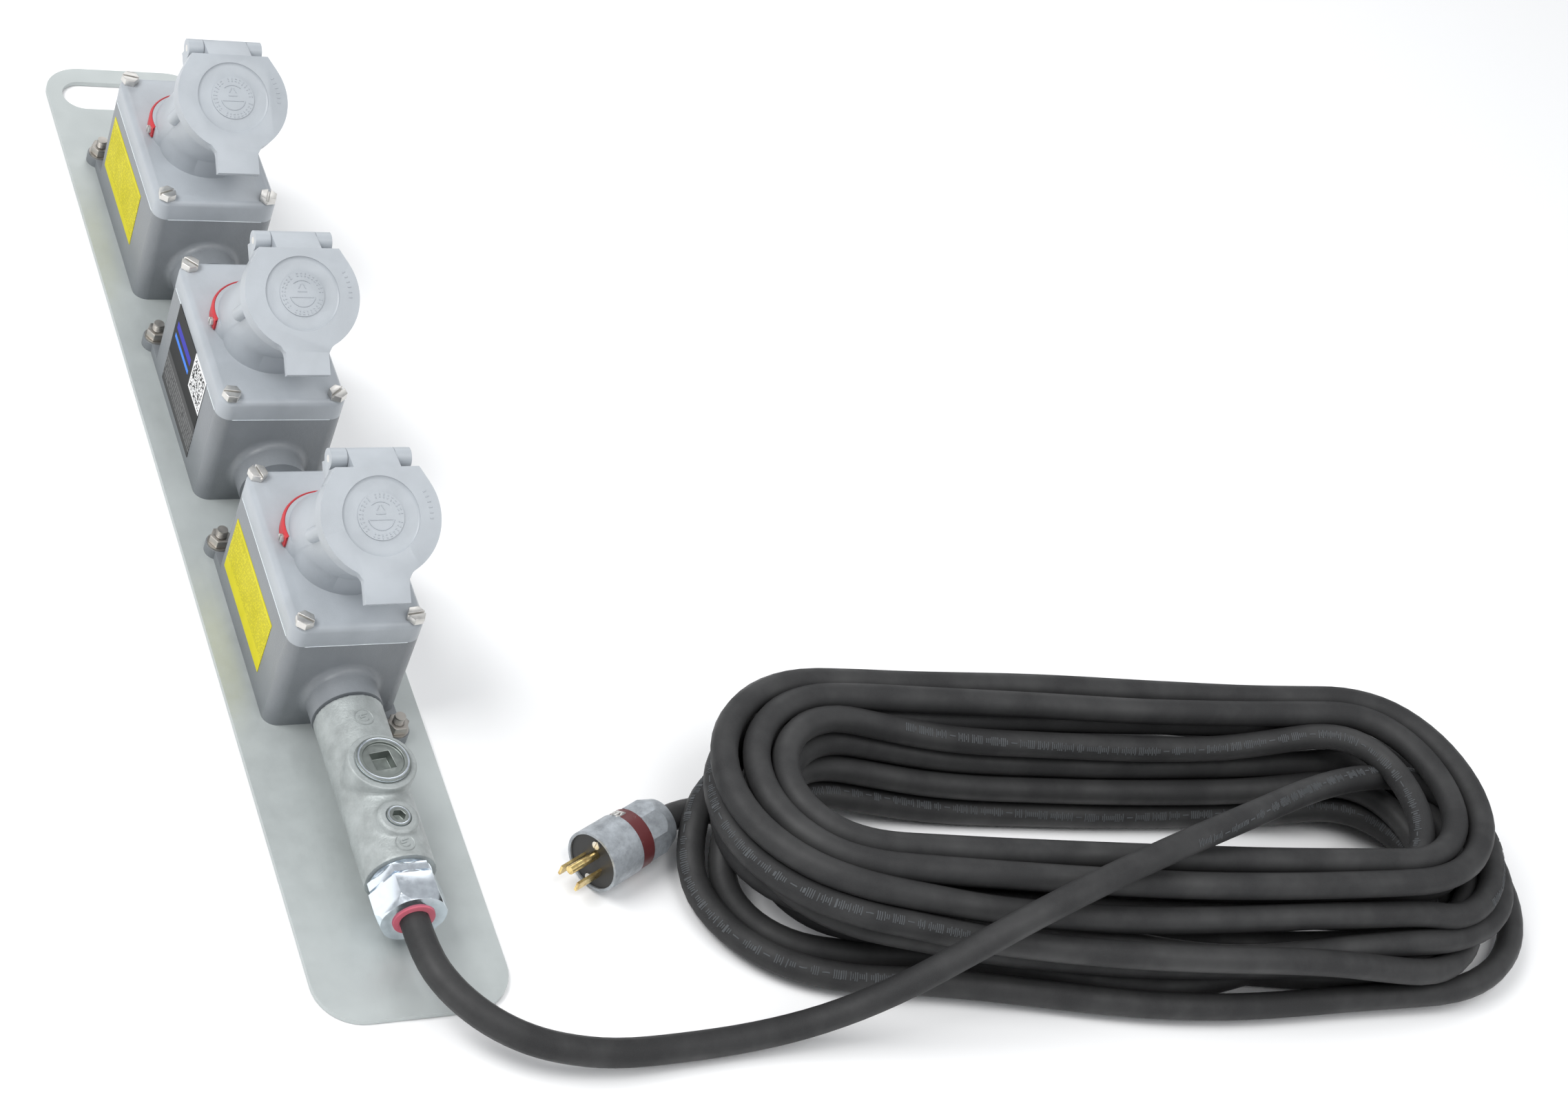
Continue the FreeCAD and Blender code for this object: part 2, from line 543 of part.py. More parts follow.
def make_lid(station):
    """A cap with a lifting tab, a dished face and a hinge knuckle, in its own tilted frame."""
    body = new_body("lid_%d" % station, tilted(station))
    prefix = "lid_%d_" % station
    shoulder = size("shoulder_y")

    disc = new_sketch(body, prefix + "disc")
    circle(disc, "lid_radius", (32, 0, 0))
    pad(body, disc, "lid_depth", downwards=True)

    # the shoulders run from the hinge side out to the disc's widest part
    flank = new_sketch(body, prefix + "flank")
    half, low, wide = size("shoulder_half"), size("flank_y"), size("flank_half")
    corners = [Vector(-wide, low), Vector(wide, low), Vector(half, shoulder), Vector(-half, shoulder)]
    for start, end in zip(corners, corners[1:] + corners[:1]):
        flank.addGeometry(Part.LineSegment(start, end))
    for side in range(4):
        flank.addConstraint(Sketcher.Constraint("Coincident", side, 2, (side + 1) % 4, 1))
    flank.addConstraint(Sketcher.Constraint("Symmetric", 0, 1, 0, 2, -2))
    flank.addConstraint(Sketcher.Constraint("Symmetric", 2, 1, 2, 2, -2))
    driven(flank, "DistanceX", (0, 1, 0, 2), 2 * wide, "2 * flank_half")
    driven(flank, "DistanceX", (2, 2, 2, 1), 2 * half, "2 * shoulder_half")
    driven(flank, "DistanceY", (-1, 1, 0, 1), low, "flank_y")
    driven(flank, "DistanceY", (-1, 1, 2, 1), shoulder, "shoulder_y")
    pad(body, flank, "lid_depth", downwards=True)

    tab = new_sketch(body, prefix + "tab")
    rectangle(tab, "2 * tab_half", "tab_reach - flank_half", "-tab_half", "-tab_reach", (24, 17, -12, -45))
    pad(body, tab, "tab_thick", downwards=True)
    root = new_sketch(body, prefix + "tab_root")
    rectangle(root, "2 * tab_half + 2 * tab_flare", "tab_root", "-tab_half - tab_flare", "-lid_radius",
              (29, 7, -14, -32))
    pad(body, root, "tab_thick", downwards=True)

    behind = new_sketch(body, prefix + "behind")
    rectangle(behind, "3 * lid_radius", "lid_radius", "-1.5 * lid_radius", "shoulder_y", (98, 32, -49, 25))
    pocket(body, behind, "lid_depth")

    # hinge strap: slopes back from the face to the knuckle round the pin, clear of the tube
    strap = new_sketch(body, prefix + "strap", "YZ_Plane")
    hinge_y, hinge_z, barrel = size("hinge_y"), size("hinge_z"), size("barrel_radius")
    inside, plate = shoulder - size("lid_plate"), -size("lid_plate")
    profile = [(inside, 0), (shoulder, 0), (hinge_y + 0.65 * barrel, hinge_z + 0.76 * barrel),
               (hinge_y, hinge_z), (hinge_y - 0.8 * barrel, hinge_z + 0.6 * barrel), (inside, plate)]
    points = [Vector(y, z) for y, z in profile]
    for start, end in zip(points, points[1:] + points[:1]):
        strap.addGeometry(Part.LineSegment(start, end))
    for side in range(len(points)):
        strap.addConstraint(Sketcher.Constraint("Coincident", side, 2, (side + 1) % len(points), 1))
    for side in range(len(points)):
        strap.addConstraint(Sketcher.Constraint("DistanceX", -1, 1, side, 1, points[side].x))
        strap.addConstraint(Sketcher.Constraint("DistanceY", -1, 1, side, 1, points[side].y))
    pad(body, strap, "2 * knuckle_half", both_ways=True)
    knuckle = new_sketch(body, prefix + "knuckle", "YZ_Plane")
    circle(knuckle, "barrel_radius", (barrel, hinge_y, hinge_z), x="hinge_y", y="hinge_z")
    pad(body, knuckle, "2 * knuckle_half", both_ways=True)

    hollow = new_sketch(body, prefix + "hollow", lift=-size("lid_depth"))
    circle(hollow, "lid_hollow", (28, 0, 0))
    pocket(body, hollow, "lid_depth - lid_plate", upwards=True)
    pin_hole = new_sketch(body, prefix + "pin_hole", "YZ_Plane")
    circle(pin_hole, "pin_radius + pin_gap", (2, hinge_y, hinge_z), x="hinge_y", y="hinge_z")
    pocket(body, pin_hole, "3 * knuckle_half", both_ways=True)
    spring_room = new_sketch(body, prefix + "spring_room", "YZ_Plane")
    circle(spring_room, "spring_radius + spring_gap", (4.5, hinge_y, hinge_z), x="hinge_y", y="hinge_z")
    pocket(body, spring_room, "2 * spring_half + spring_wire", both_ways=True)

    dish = new_sketch(body, prefix + "dish")
    circle(dish, "recess_radius", (21, 0, 0))
    pocket(body, dish, "recess_depth")
    badge = new_sketch(body, prefix + "badge", lift=-size("recess_depth"))
    circle(badge, "badge_radius", (12, 0, 0))
    pad(body, badge, "badge_height")
    return body


def make_lid_fittings(station):
    """Gasket inside the lid, hinge pin through the ears and the spring round the pin."""
    lean = tilted(station)
    name = "fit_%d_" % station
    seat = -size("lid_plate") - size("gasket_thick")
    ring = cylinder(name + "ring", at(z=seat, frame=lean), "gasket_outer", "gasket_thick")
    hole = cylinder(name + "hole", at(z=seat, frame=lean), "gasket_inner", "gasket_thick")
    node("lid_gasket_%d" % station, cut("lid_gasket_%d" % station, ring, [hole]))

    start = at(-size("ear_outer"), size("hinge_y"), size("hinge_z"), Y_AXIS, 90, lean)
    pin = cylinder("hinge_pin_%d" % station, start, "pin_radius", "2 * ear_outer")
    node("hinge_pin_%d" % station, pin)

    turns, wire = 6, size("spring_wire")
    length = 2 * size("spring_half") - 2 * wire
    helix = Part.makeHelix(length / turns, length, size("spring_radius"))
    start_point = helix.Vertexes[0].Point
    section = Part.Wire(Part.makeCircle(wire / 2, start_point, Vector(0, 1, 0.08)))
    coil = Part.Wire(helix.Edges).makePipeShell([section], True, True)
    spring = feature("lid_spring_%d" % station, coil)
    spring.Placement = at(-length / 2, size("hinge_y"), size("hinge_z"), Y_AXIS, 90, lean)


def make_receptacle(station):
    """The insulating insert down in the tube, and its three brass contacts."""
    lean = tilted(station)
    name = "socket_%d_" % station
    back = -size("insert_face") - size("insert_length")
    insert = cylinder(name + "insert", at(z=back, frame=lean), "insert_radius", "insert_length")
    slots, contacts = [], []
    floor = -size("insert_face") - size("insert_length") + size("slot_floor")
    for side in (-1, 1):
        x, y = side * size("blade_spacing") / 2, size("slots_y")
        slots.append(block("%sslot_%d" % (name, side), lean, x, y, floor,
                           "blade_gap", "blade_width", "insert_length"))
        contacts.append(block("%scontact_%d" % (name, side), lean, x + side * size("contact_shift"), y,
                              floor, "contact_thick", "blade_width - contact_shift",
                              "insert_length - contact_short"))
    ground = at(0, size("ground_y"), floor, frame=lean)
    slots.append(cylinder(name + "ground_slot", ground, "ground_radius", "insert_length"))
    sleeve = cylinder(name + "sleeve", ground, "ground_radius", "insert_length - contact_short")
    sleeve_hole = cylinder(name + "sleeve_hole", ground, "ground_radius - ground_wall", "insert_length")
    contacts.append(cut(name + "ground_contact", sleeve, [sleeve_hole]))
    node("receptacle_insert_%d" % station, cut("receptacle_insert_%d" % station, insert, slots))
    doc.recompute()
    feature("receptacle_contacts_%d" % station, Part.makeCompound([piece.Shape for piece in contacts]))


# each label: station, its middle along the box, its lower edge above the box's foot, length, height
LABELS = [(1, 8, 13, 78, 37), (2, 3, 6, 66, 58), (3, 9, 17, 74, 38)]


def make_labels():
    """Plain labels on the boxes' left walls."""
    wall_x = -size("box_width") / 2
    for station, middle, low, length, tall in LABELS:
        name = "wall_label_%d" % station
        label = primitive("Box", name, at(), Length="label_thick", Width=str(length), Height=str(tall))
        doc.recompute([label])
        y = station_y(station) + middle - length / 2
        label.Placement = at(wall_x - size("label_thick"), y, size("plate_thick") + low)
        node(name, label)


# ---------------------------------------------------------------- pipework to the boxes

def along_y(name, y, radius, length, x=0, z=None):
    """A cylinder along +Y from y, on the hubs' centre line."""
    height = size("hub_z") if z is None else z
    return cylinder(name, at(x, y, height, X_AXIS, -90), radius, length)


def hub_face(station, end):
    """How far along Y a hub's open face is: end is 1 at the cord's side, -1 at the other."""
    return station_y(station) - end * (size("box_length") / 2 + size("hub_reach"))


def make_nipples():
    """Short pipes that join the boxes to each other and to the seal fitting."""
    grip = size("thread_grip")
    spans = [(size("seal_end") - grip, hub_face(1, 1) + grip)]
    for station in STATIONS[:-1]:
        spans.append((hub_face(station, -1) - grip, hub_face(station + 1, 1) + grip))
    for number, (start, end) in enumerate(spans, start=1):
        name = "nipple_%d" % number
        pipe = along_y(name + "_outside", start, "pipe_radius", str(end - start))
        bore = along_y(name + "_bore", start, "pipe_radius - pipe_wall", str(end - start))
        node(name, cut(name, pipe, [bore]))


def make_seal():
    """The cast seal fitting with its filling plug, drain plug and sealing compound."""
    start, length = size("seal_start"), "seal_end - seal_start"
    barrel = along_y("seal_barrel", start, "seal_radius", length)
    axis_z = size("hub_z")
    fill_boss = cylinder("fill_boss_metal", at(y=size("fill_y"), z=axis_z), "fill_boss", "fill_top - hub_z")
    drain_boss = cylinder("drain_boss_metal", at(y=size("drain_y"), z=axis_z), "drain_boss",
                          "drain_top - hub_z")
    solid = fuse("seal_solid", [barrel, fill_boss, drain_boss])
    bore = along_y("seal_bore", start, "pipe_radius", length)
    fill_hole = cylinder("fill_hole", at(y=size("fill_y"), z=axis_z), "fill_thread", "fill_top - hub_z")
    drain_hole = cylinder("drain_hole", at(y=size("drain_y"), z=axis_z), "drain_plug", "drain_top - hub_z")
    node("seal_fitting", cut("seal_fitting", solid, [bore, fill_hole, drain_hole]))

    fill_y, fill_top = size("fill_y"), size("fill_top")
    thread = cylinder("fill_plug_thread", at(y=fill_y, z=fill_top - size("fill_depth")), "fill_thread",
                      "fill_depth")
    rim = cylinder("fill_plug_rim", at(y=fill_y, z=fill_top), "fill_plug", "fill_rim")
    socket = block("fill_plug_socket", None, 0, fill_y, fill_top - size("fill_socket_depth"),
                   "fill_socket", "fill_socket", "fill_socket_depth + fill_rim", angle=8)
    dish_z = fill_top + size("fill_rim") - size("fill_dish")
    dish = cylinder("fill_plug_dish", at(y=fill_y, z=dish_z), "fill_thread - fill_dish", "fill_dish")
    node("seal_fill_plug", cut("seal_fill_plug", fuse("fill_plug_solid", [thread, rim]), [socket, dish]))

    drain_y, drain_top = size("drain_y"), size("drain_top")
    drain = cylinder("drain_plug_solid", at(y=drain_y, z=drain_top - size("drain_depth")), "drain_plug",
                     "drain_depth + drain_proud")
    socket_z = drain_top - size("drain_socket_depth")
    hexagon = primitive("Prism", "drain_plug_socket", at(y=drain_y, z=socket_z),
                        Circumradius="drain_socket", Height="drain_socket_depth + drain_proud")
    node("seal_drain_plug", cut("seal_drain_plug", drain, [hexagon]))

    fill = along_y("compound_fill", size("compound_y"), "pipe_radius", "compound_length")
    wires = [along_y("compound_wire_%d" % n, size("compound_y"), "wire_radius", "compound_length",
                     x=(n - 1) * size("wire_spacing")) for n in range(3)]
    node("sealing_compound", cut("sealing_compound", fill, wires))


def make_conductors():
    """The three insulated conductors, from the gland to the last box, with a drop to each receptacle."""
    start = size("seal_start") + size("sheath_end")
    end = station_y(STATIONS[-1]) + size("wire_end")
    pieces = []
    for number in range(3):
        x = (number - 1) * size("wire_spacing")
        runs = [along_y("wire_%d" % number, start, "wire_radius", str(end - start), x=x)]
        for station in STATIONS:
            y = station_y(station) + size("rise_y") + size("rise_spacing") * number
            runs.append(cylinder("wire_%d_rise_%d" % (number, station), at(x, y, size("hub_z")),
                                 "rise_radius", "rise_length"))
        pieces.append(fuse("conductor_%d" % number, runs))
    doc.recompute()
    feature("conductors", Part.makeCompound([piece.Shape for piece in pieces]))


def make_gland():
    """Gland body screwed into the seal fitting, hexagon nut and rubber bush."""
    face = size("gland_face")
    nut_end = face + size("nut_length")
    collar = along_y("gland_collar", nut_end, "gland_collar", str(size("seal_start") - nut_end))
    hexagon = primitive("Prism", "gland_hexagon",
                        at(0, nut_end + size("gland_hex_gap"), size("hub_z"), X_AXIS, -90),
                        Circumradius="gland_hex", Height="gland_hex_length")
    thread = along_y("gland_thread", nut_end, "pipe_radius",
                     str(size("seal_start") - nut_end + size("thread_grip")))
    bore = along_y("gland_bore", face, "bush_radius", str(FAR / 2))
    node("gland_body", cut("gland_body", fuse("gland_metal", [collar, hexagon, thread]), [bore]))

    nut = primitive("Prism", "gland_nut_hexagon", at(0, face, size("hub_z"), X_AXIS, -90),
                    Circumradius="gland_nut", Height="nut_length")
    round_off = primitive("Cone", "gland_nut_round", at(0, face, size("hub_z"), X_AXIS, -90),
                          Radius1="gland_nut - nut_bevel", Radius2="gland_nut + 2.5 * nut_bevel",
                          Height="nut_length")
    rounded_nut = doc.addObject("Part::Common", "gland_nut_solid")
    rounded_nut.Base, rounded_nut.Tool = nut, round_off
    hole = along_y("gland_nut_hole", face, "bush_radius", "nut_length")
    node("gland_nut", cut("gland_nut", rounded_nut, [hole]))

    bush_start = face - size("bush_proud")
    bush = along_y("bush_outside", bush_start, "bush_radius", "bush_length")
    bush_hole = along_y("bush_hole", bush_start, "cord_radius", "bush_length")
    node("gland_bush", cut("gland_bush", bush, [bush_hole]))
    # the end of the cord's sheath inside the gland, where the conductors part
    sheath = size("seal_start") + size("sheath_end") - bush_start
    node("cord_sheath_end", along_y("cord_sheath_end", bush_start, "cord_radius", str(sheath)))


# ---------------------------------------------------------------- cord, coil and plug

# where the cord runs between the gland and the coil: out of the gland, round to the right
# and down to the floor, then up the side of the coil, over its top and down inside it
LEAD_ROUTE = [
    (0, -331.8, 28), (0, -353, 28), (6.6, -373.5, 27.6), (19.5, -391, 26), (37, -403.5, 23),
    (58, -410.5, 18.8), (88, -414, 13), (127, -412.5, 8.8), (170, -411.5, 9), (208, -411.5, 18),
    (243, -411.5, 37), (281, -406, 58), (322, -397, 74), (370, -385, 84), (422, -371, 88),
    (478, -355, 88), (532, -338, 83), (582, -323, 71), (628, -316, 57),
]
# from the coil's outer turn to the back of the plug
TAIL_ROUTE = [
    (243.5, -281.4, 8), (222, -269.7, 8.5), (198, -264.8, 10.5), (173.3, -268.6, 15), (151.7, -279, 17.5),
]
ARC_SHARE = 0.45


def cord_tube(label, route, radius):
    """A round tube along straight runs joined by tangent arcs, as large as the runs allow."""
    points = [Vector(*place) for place in route]
    edges, radii, start = [], [], points[0]
    for before, corner, after in zip(points, points[1:], points[2:]):
        arriving, leaving = corner - before, after - corner
        turn = arriving.getAngle(leaving)
        inset = ARC_SHARE * min(arriving.Length, leaving.Length)
        radii.append(inset / math.tan(turn / 2))
        arriving.normalize()
        leaving.normalize()
        arc_start, arc_end = corner - arriving * inset, corner + leaving * inset
        middle = (arc_start + arc_end) / 2
        chord = (arc_end - arc_start).Length / 2
        rise = radii[-1] - math.sqrt(radii[-1] ** 2 - chord ** 2)
        towards = (corner - middle).normalize()
        edges.append(Part.makeLine(start, arc_start))
        edges.append(Part.Arc(arc_start, middle + towards * rise, arc_end).toShape())
        start = arc_end
    edges.append(Part.makeLine(start, points[-1]))
    path = Part.Wire(edges)
    section = Part.Wire(Part.makeCircle(radius, points[0], points[1] - points[0]))
    tube = path.makePipeShell([section], True, False)
    expected = math.pi * radius ** 2 * path.Length
    print("%s: length %.0f mm, tightest bend %.0f mm, volume off by %.2f %%"
          % (label, path.Length, min(radii), 100 * (tube.Volume / expected - 1)))
    feature(label, tube)


def oval(length, width, height, round_top=0):
    """A straight-sided oval disc centred on the origin, standing on z = 0."""
    radius, half = width / 2, (length - width) / 2
    top, bottom = Vector(0, radius, 0), Vector(0, -radius, 0)
    shift, side = Vector(half, 0, 0), Vector(half + radius, 0, 0)
    edges = [Part.makeLine(bottom - shift, bottom + shift),
             Part.Arc(bottom + shift, side, top + shift).toShape(),
             Part.makeLine(top + shift, top - shift),
             Part.Arc(top - shift, -side, bottom - shift).toShape()]
    disc = Part.Face(Part.Wire(edges)).extrude(Vector(0, 0, height))
    if round_top:
        rim = [e for e in disc.Edges if all(abs(v.Point.z - height) < 1e-6 for v in e.Vertexes)]
        disc = disc.makeFillet(round_top, rim)
    return disc


def make_cord():
    cord_tube("cord_lead", LEAD_ROUTE, size("cord_radius"))
    cord_tube("cord_tail", TAIL_ROUTE, size("cord_radius"))
    length, width, band = size("coil_length"), size("coil_width"), size("coil_band")
    outside = oval(length, width, size("coil_height"), size("coil_rounding"))
    hole = oval(length - 2 * band, width - 2 * band, size("coil_height"))
    coil = feature("cord_coil", outside.cut(hole))
    coil.Placement = at(size("coil_x"), size("coil_y"), 0, Z_AXIS, size("coil_turn"))


def make_plug():
    """The plug lies on the floor with its blades away from the coil."""
    frame = at(size("plug_x"), size("plug_y"), size("plug_radius"), Z_AXIS, size("plug_heading"))

    def along(name, x, radius, length, y=0, z=0):
        return cylinder(name, at(x, y, z, Y_AXIS, 90, frame), radius, length)

    front, band, rear = size("plug_front"), size("plug_band"), size("plug_rear")
    sunk = size("face_sunk")
    sleeve = along("plug_sleeve_outside", 0, "plug_radius", "plug_front")
    sleeve_hole = along("plug_sleeve_hole", 0, "plug_radius - plug_shell", "plug_front")
    node("plug_sleeve", cut("plug_sleeve", sleeve, [sleeve_hole]))
    node("plug_face", along("plug_face_disc", sunk, "plug_radius - plug_shell", "plug_front - face_sunk"))
    node("plug_band", along("plug_band_disc", front, "plug_radius - band_sunk", "plug_band"))

    rear_place = at(front + band, 0, 0, Y_AXIS, 90, frame)
    prism = primitive("Prism", "plug_rear_prism", rear_place, Polygon="8", Circumradius="plug_radius",
                      Height="plug_rear")
    taper = primitive("Cone", "plug_rear_taper", rear_place, Radius1="plug_radius + plug_bevel",
                      Radius2="plug_neck", Height="plug_rear")
    rear_solid = doc.addObject("Part::Common", "plug_rear_solid")
    rear_solid.Base, rear_solid.Tool = prism, taper
    cord_hole = along("plug_cord_hole", front + band + rear - size("cord_grip"), "cord_radius", "cord_grip")
    node("plug_rear", cut("plug_rear", rear_solid, [cord_hole]))

    blades = []
    for side in (-1, 1):
        blades.append(block("plug_blade_%d" % side, frame, sunk - size("blade_length") / 2,
                            side * size("blade_spacing") / 2, size("blade_z"),
                            "blade_length", "blade_thick", "blade_height"))
    blades.append(along("plug_earth_pin", sunk - size("pin_length"), "earth_pin", "pin_length",
                        z=size("pin_z")))
    doc.recompute()
    feature("plug_blades", Part.makeCompound([blade.Shape for blade in blades]))

    head = primitive("Cylinder", "plug_screw_disc", at(), Radius="band_screw", Height="plug_screw_head")
    slot = block("plug_screw_cut", None, 0, 0, size("plug_screw_head") / 2, "3 * band_screw",
                 "band_screw_slot", "plug_screw_head")
    spots = []
    for side in (-1, 1):
        y, z = side * size("plug_screw_y"), side * size("plug_screw_z")
        spots.append(at(sunk, y, z, Y_AXIS, -90, frame))
    group("plug_screws", cut("plug_screw", head, [slot]), spots)


make_plate()
make_box_hardware()
make_cover_screws()
band_screw_places = []
for number in STATIONS:
    make_box(number)
    make_cover(number)
    band_screw_places += make_band(number)
    make_lid(number)
    make_lid_fittings(number)
    make_receptacle(number)
make_band_screws(band_screw_places)
make_labels()
make_nipples()
make_seal()
make_conductors()
make_gland()
make_cord()
make_plug()
doc.recompute()

faults = [item.Name for item in doc.Objects if set(item.State) & {"Invalid", "Error"}]
for label, piece in nodes.items():
    if piece.Shape.isNull() or not piece.Shape.isValid() or not piece.Shape.Solids:
        faults.append(label)
if faults:
    raise RuntimeError("failed: " + ", ".join(faults))

os.makedirs("parts", exist_ok=True)
for label, piece in nodes.items():
    piece.Shape.exportStep("parts/%s.step" % label)
print("sub-parts written:", len(nodes))
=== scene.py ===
import math
import random

import bmesh
import bpy
import numpy as np
from mathutils import Matrix, Vector


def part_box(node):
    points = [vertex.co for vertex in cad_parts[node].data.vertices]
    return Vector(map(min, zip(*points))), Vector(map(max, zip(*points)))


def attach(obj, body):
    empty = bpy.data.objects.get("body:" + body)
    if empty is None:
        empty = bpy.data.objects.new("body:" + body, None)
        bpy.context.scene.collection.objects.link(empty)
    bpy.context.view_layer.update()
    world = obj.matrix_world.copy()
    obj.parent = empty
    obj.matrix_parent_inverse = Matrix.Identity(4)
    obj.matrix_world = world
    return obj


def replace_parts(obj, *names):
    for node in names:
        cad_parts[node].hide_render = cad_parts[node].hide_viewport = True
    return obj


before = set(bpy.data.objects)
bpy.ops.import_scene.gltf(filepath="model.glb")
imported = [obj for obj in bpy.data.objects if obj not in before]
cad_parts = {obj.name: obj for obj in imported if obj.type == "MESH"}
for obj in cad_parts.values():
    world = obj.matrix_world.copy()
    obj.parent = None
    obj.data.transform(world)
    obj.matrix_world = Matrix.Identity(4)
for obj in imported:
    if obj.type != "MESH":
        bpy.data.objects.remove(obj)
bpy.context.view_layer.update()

# Portable power distribution strip: three covered receptacle boxes on a carrying plate,
# with a seal fitting, a cord gland, a coiled feed cord and its plug. Metres throughout;
# +Y runs along the plate away from the cord, +Z up out of the covers.

MM = 0.001


# ---------------------------------------------------------------- camera, floor and light

def add_camera():
    """The camera at the photographed angle: its place and the axes of its picture."""
    place = Vector((-0.509, -1.107, 1.157))
    right = Vector((0.8813, -0.3395, 0.3286))
    up = Vector((0.0300, 0.7343, 0.6782))
    back = right.cross(up)
    data = bpy.data.cameras.new("camera")
    data.lens = 65.74
    data.sensor_width = 36
    turn = Matrix((right, up, back)).transposed().to_4x4()
    camera = bpy.data.objects.new("camera", data)
    camera.matrix_world = Matrix.Translation(place) @ turn
    bpy.context.collection.objects.link(camera)
    bpy.context.scene.camera = camera


def add_floor():
    bpy.ops.mesh.primitive_plane_add(size=12, location=(0, 0, -0.0005))
    floor = bpy.context.object
    floor.name = "floor"
    material = bpy.data.materials.new("floor")
    material.use_nodes = True
    shader = material.node_tree.nodes["Principled BSDF"]
    shader.inputs["Base Color"].default_value = (1.0, 1.0, 1.0, 1)
    shader.inputs["Roughness"].default_value = 0.9
    floor.data.materials.append(material)


def add_light(name, place, target, power, width, height):
    data = bpy.data.lights.new(name, "AREA")
    data.shape = "RECTANGLE"
    data.size, data.size_y = width, height
    data.energy = power
    light = bpy.data.objects.new(name, data)
    light.location = place
    light.rotation_euler = (Vector(target) - Vector(place)).to_track_quat("-Z", "Y").to_euler()
    bpy.context.collection.objects.link(light)


# each light's name, its place, where it points, its power in watts and its size
MIDDLE = (0.2, -0.1, 0.05)
LIGHTS = [
    ("key", (-1.6, 0.0, 2.3), MIDDLE, 52, 1.6, 1.2),
    ("fill", (1.9, -1.6, 1.9), MIDDLE, 10, 1.4, 1.4),
    ("near", (0.3, -1.0, 2.2), (0.1, -0.6, 0.0), 13, 1.4, 1.0),
    ("rim", (0.6, 2.2, 1.6), MIDDLE, 8, 1.8, 0.9),
]


def add_studio():
    world = bpy.data.worlds.new("studio")
    world.use_nodes = True
    sky = world.node_tree.nodes["Background"]
    sky.inputs["Color"].default_value = (0.95, 0.97, 1.0, 1)
    sky.inputs["Strength"].default_value = 0.52
    bpy.context.scene.world = world
    for light in LIGHTS:
        add_light(*light)
    bpy.context.scene.view_settings.view_transform = "Standard"


# ---------------------------------------------------------------- materials


class Finish:
    """A material in the making: its Principled shader and short ways to feed it."""

    def __init__(self, name, metallic=0.0, roughness=0.5, **constants):
        self.material = bpy.data.materials.new(name)
        self.material.use_nodes = True
        self.tree = self.material.node_tree
        self.shader = self.tree.nodes["Principled BSDF"]
        self.give("Metallic", metallic)
        self.give("Roughness", roughness)
        for socket, value in constants.items():
            self.give(socket.replace("_", " "), value)
        self.place = self.tree.nodes.new("ShaderNodeTexCoord").outputs["Object"]

    def give(self, socket, value):
        self.feed(self.shader.inputs[socket], value)

    def feed(self, socket, value):
        if isinstance(value, bpy.types.NodeSocket):
            self.tree.links.new(value, socket)
        else:
            socket.default_value = value

    def add(self, kind, settings=None, **inputs):
        node = self.tree.nodes.new("ShaderNode" + kind)
        for name, value in (settings or {}).items():
            setattr(node, name, value)
        for name, value in inputs.items():
            self.feed(node.inputs[name], value)
        return node

    def maths(self, operation, first, second=0.0):
        node = self.add("Math", {"operation": operation})
        self.feed(node.inputs[0], first)
        self.feed(node.inputs[1], second)
        return node.outputs[0]

    def noise(self, size, stretch=(1, 1, 1), detail=4.0, rough=0.55):
        """Noise whose patches are about the given size in metres, longer along small stretches."""
        place = self.add("Mapping", Vector=self.place, Scale=stretch).outputs[0]
        node = self.add("TexNoise", Vector=place, Scale=1 / size, Detail=detail, Roughness=rough)
        return node.outputs[0]

    def spread(self, value, low, high, start=0.35, end=0.65):
        """The value from start to end, turned into low to high."""
        node = self.add("MapRange", Value=value)
        for name, number in (("From Min", start), ("From Max", end), ("To Min", low), ("To Max", high)):
            self.feed(node.inputs[name], number)
        return node.outputs[0]

    def mix(self, share, first, second):
        """From the first colour to the second as share goes from 0 to 1."""
        node = self.add("Mix", {"data_type": "RGBA"})
        self.feed(node.inputs["Factor"], share)
        self.feed(node.inputs[6], first)
        self.feed(node.inputs[7], second)
        return node.outputs[2]

    def colour_by(self, value, first, second, start=0.35, end=0.65):
        """The base colour, from the first to the second as the value goes from start to end."""
        self.give("Base Color", self.mix(self.spread(value, 0, 1, start, end), first, second))

    def bump(self, height, depth, strength):
        node = self.add("Bump", Height=height, Distance=depth, Strength=strength)
        self.give("Normal", node.outputs[0])


def grey(value, tint=(1, 1, 1)):
    return (value * tint[0], value * tint[1], value * tint[2], 1)


COOL = (0.93, 1.0, 1.07)
GREENISH = (0.95, 1.02, 1.01)


def galvanised_plate():
    finish = Finish("galvanised_plate", metallic=0.25)
    clouds = finish.noise(0.11, detail=3)
    spangle = finish.noise(0.012, detail=5, rough=0.7)
    rolled = finish.noise(0.004, stretch=(1, 0.04, 1), detail=3)
    broad = finish.mix(finish.spread(clouds, 0, 1), grey(0.46, GREENISH), grey(0.55, GREENISH))
    mottled = finish.mix(finish.spread(spangle, 0, 0.2), broad, grey(0.62, GREENISH))
    finish.give("Base Color", mottled)
    finish.give("Roughness", finish.spread(spangle, 0.36, 0.52))
    finish.bump(finish.maths("ADD", rolled, spangle), 0.00012, 0.5)
    return finish.material


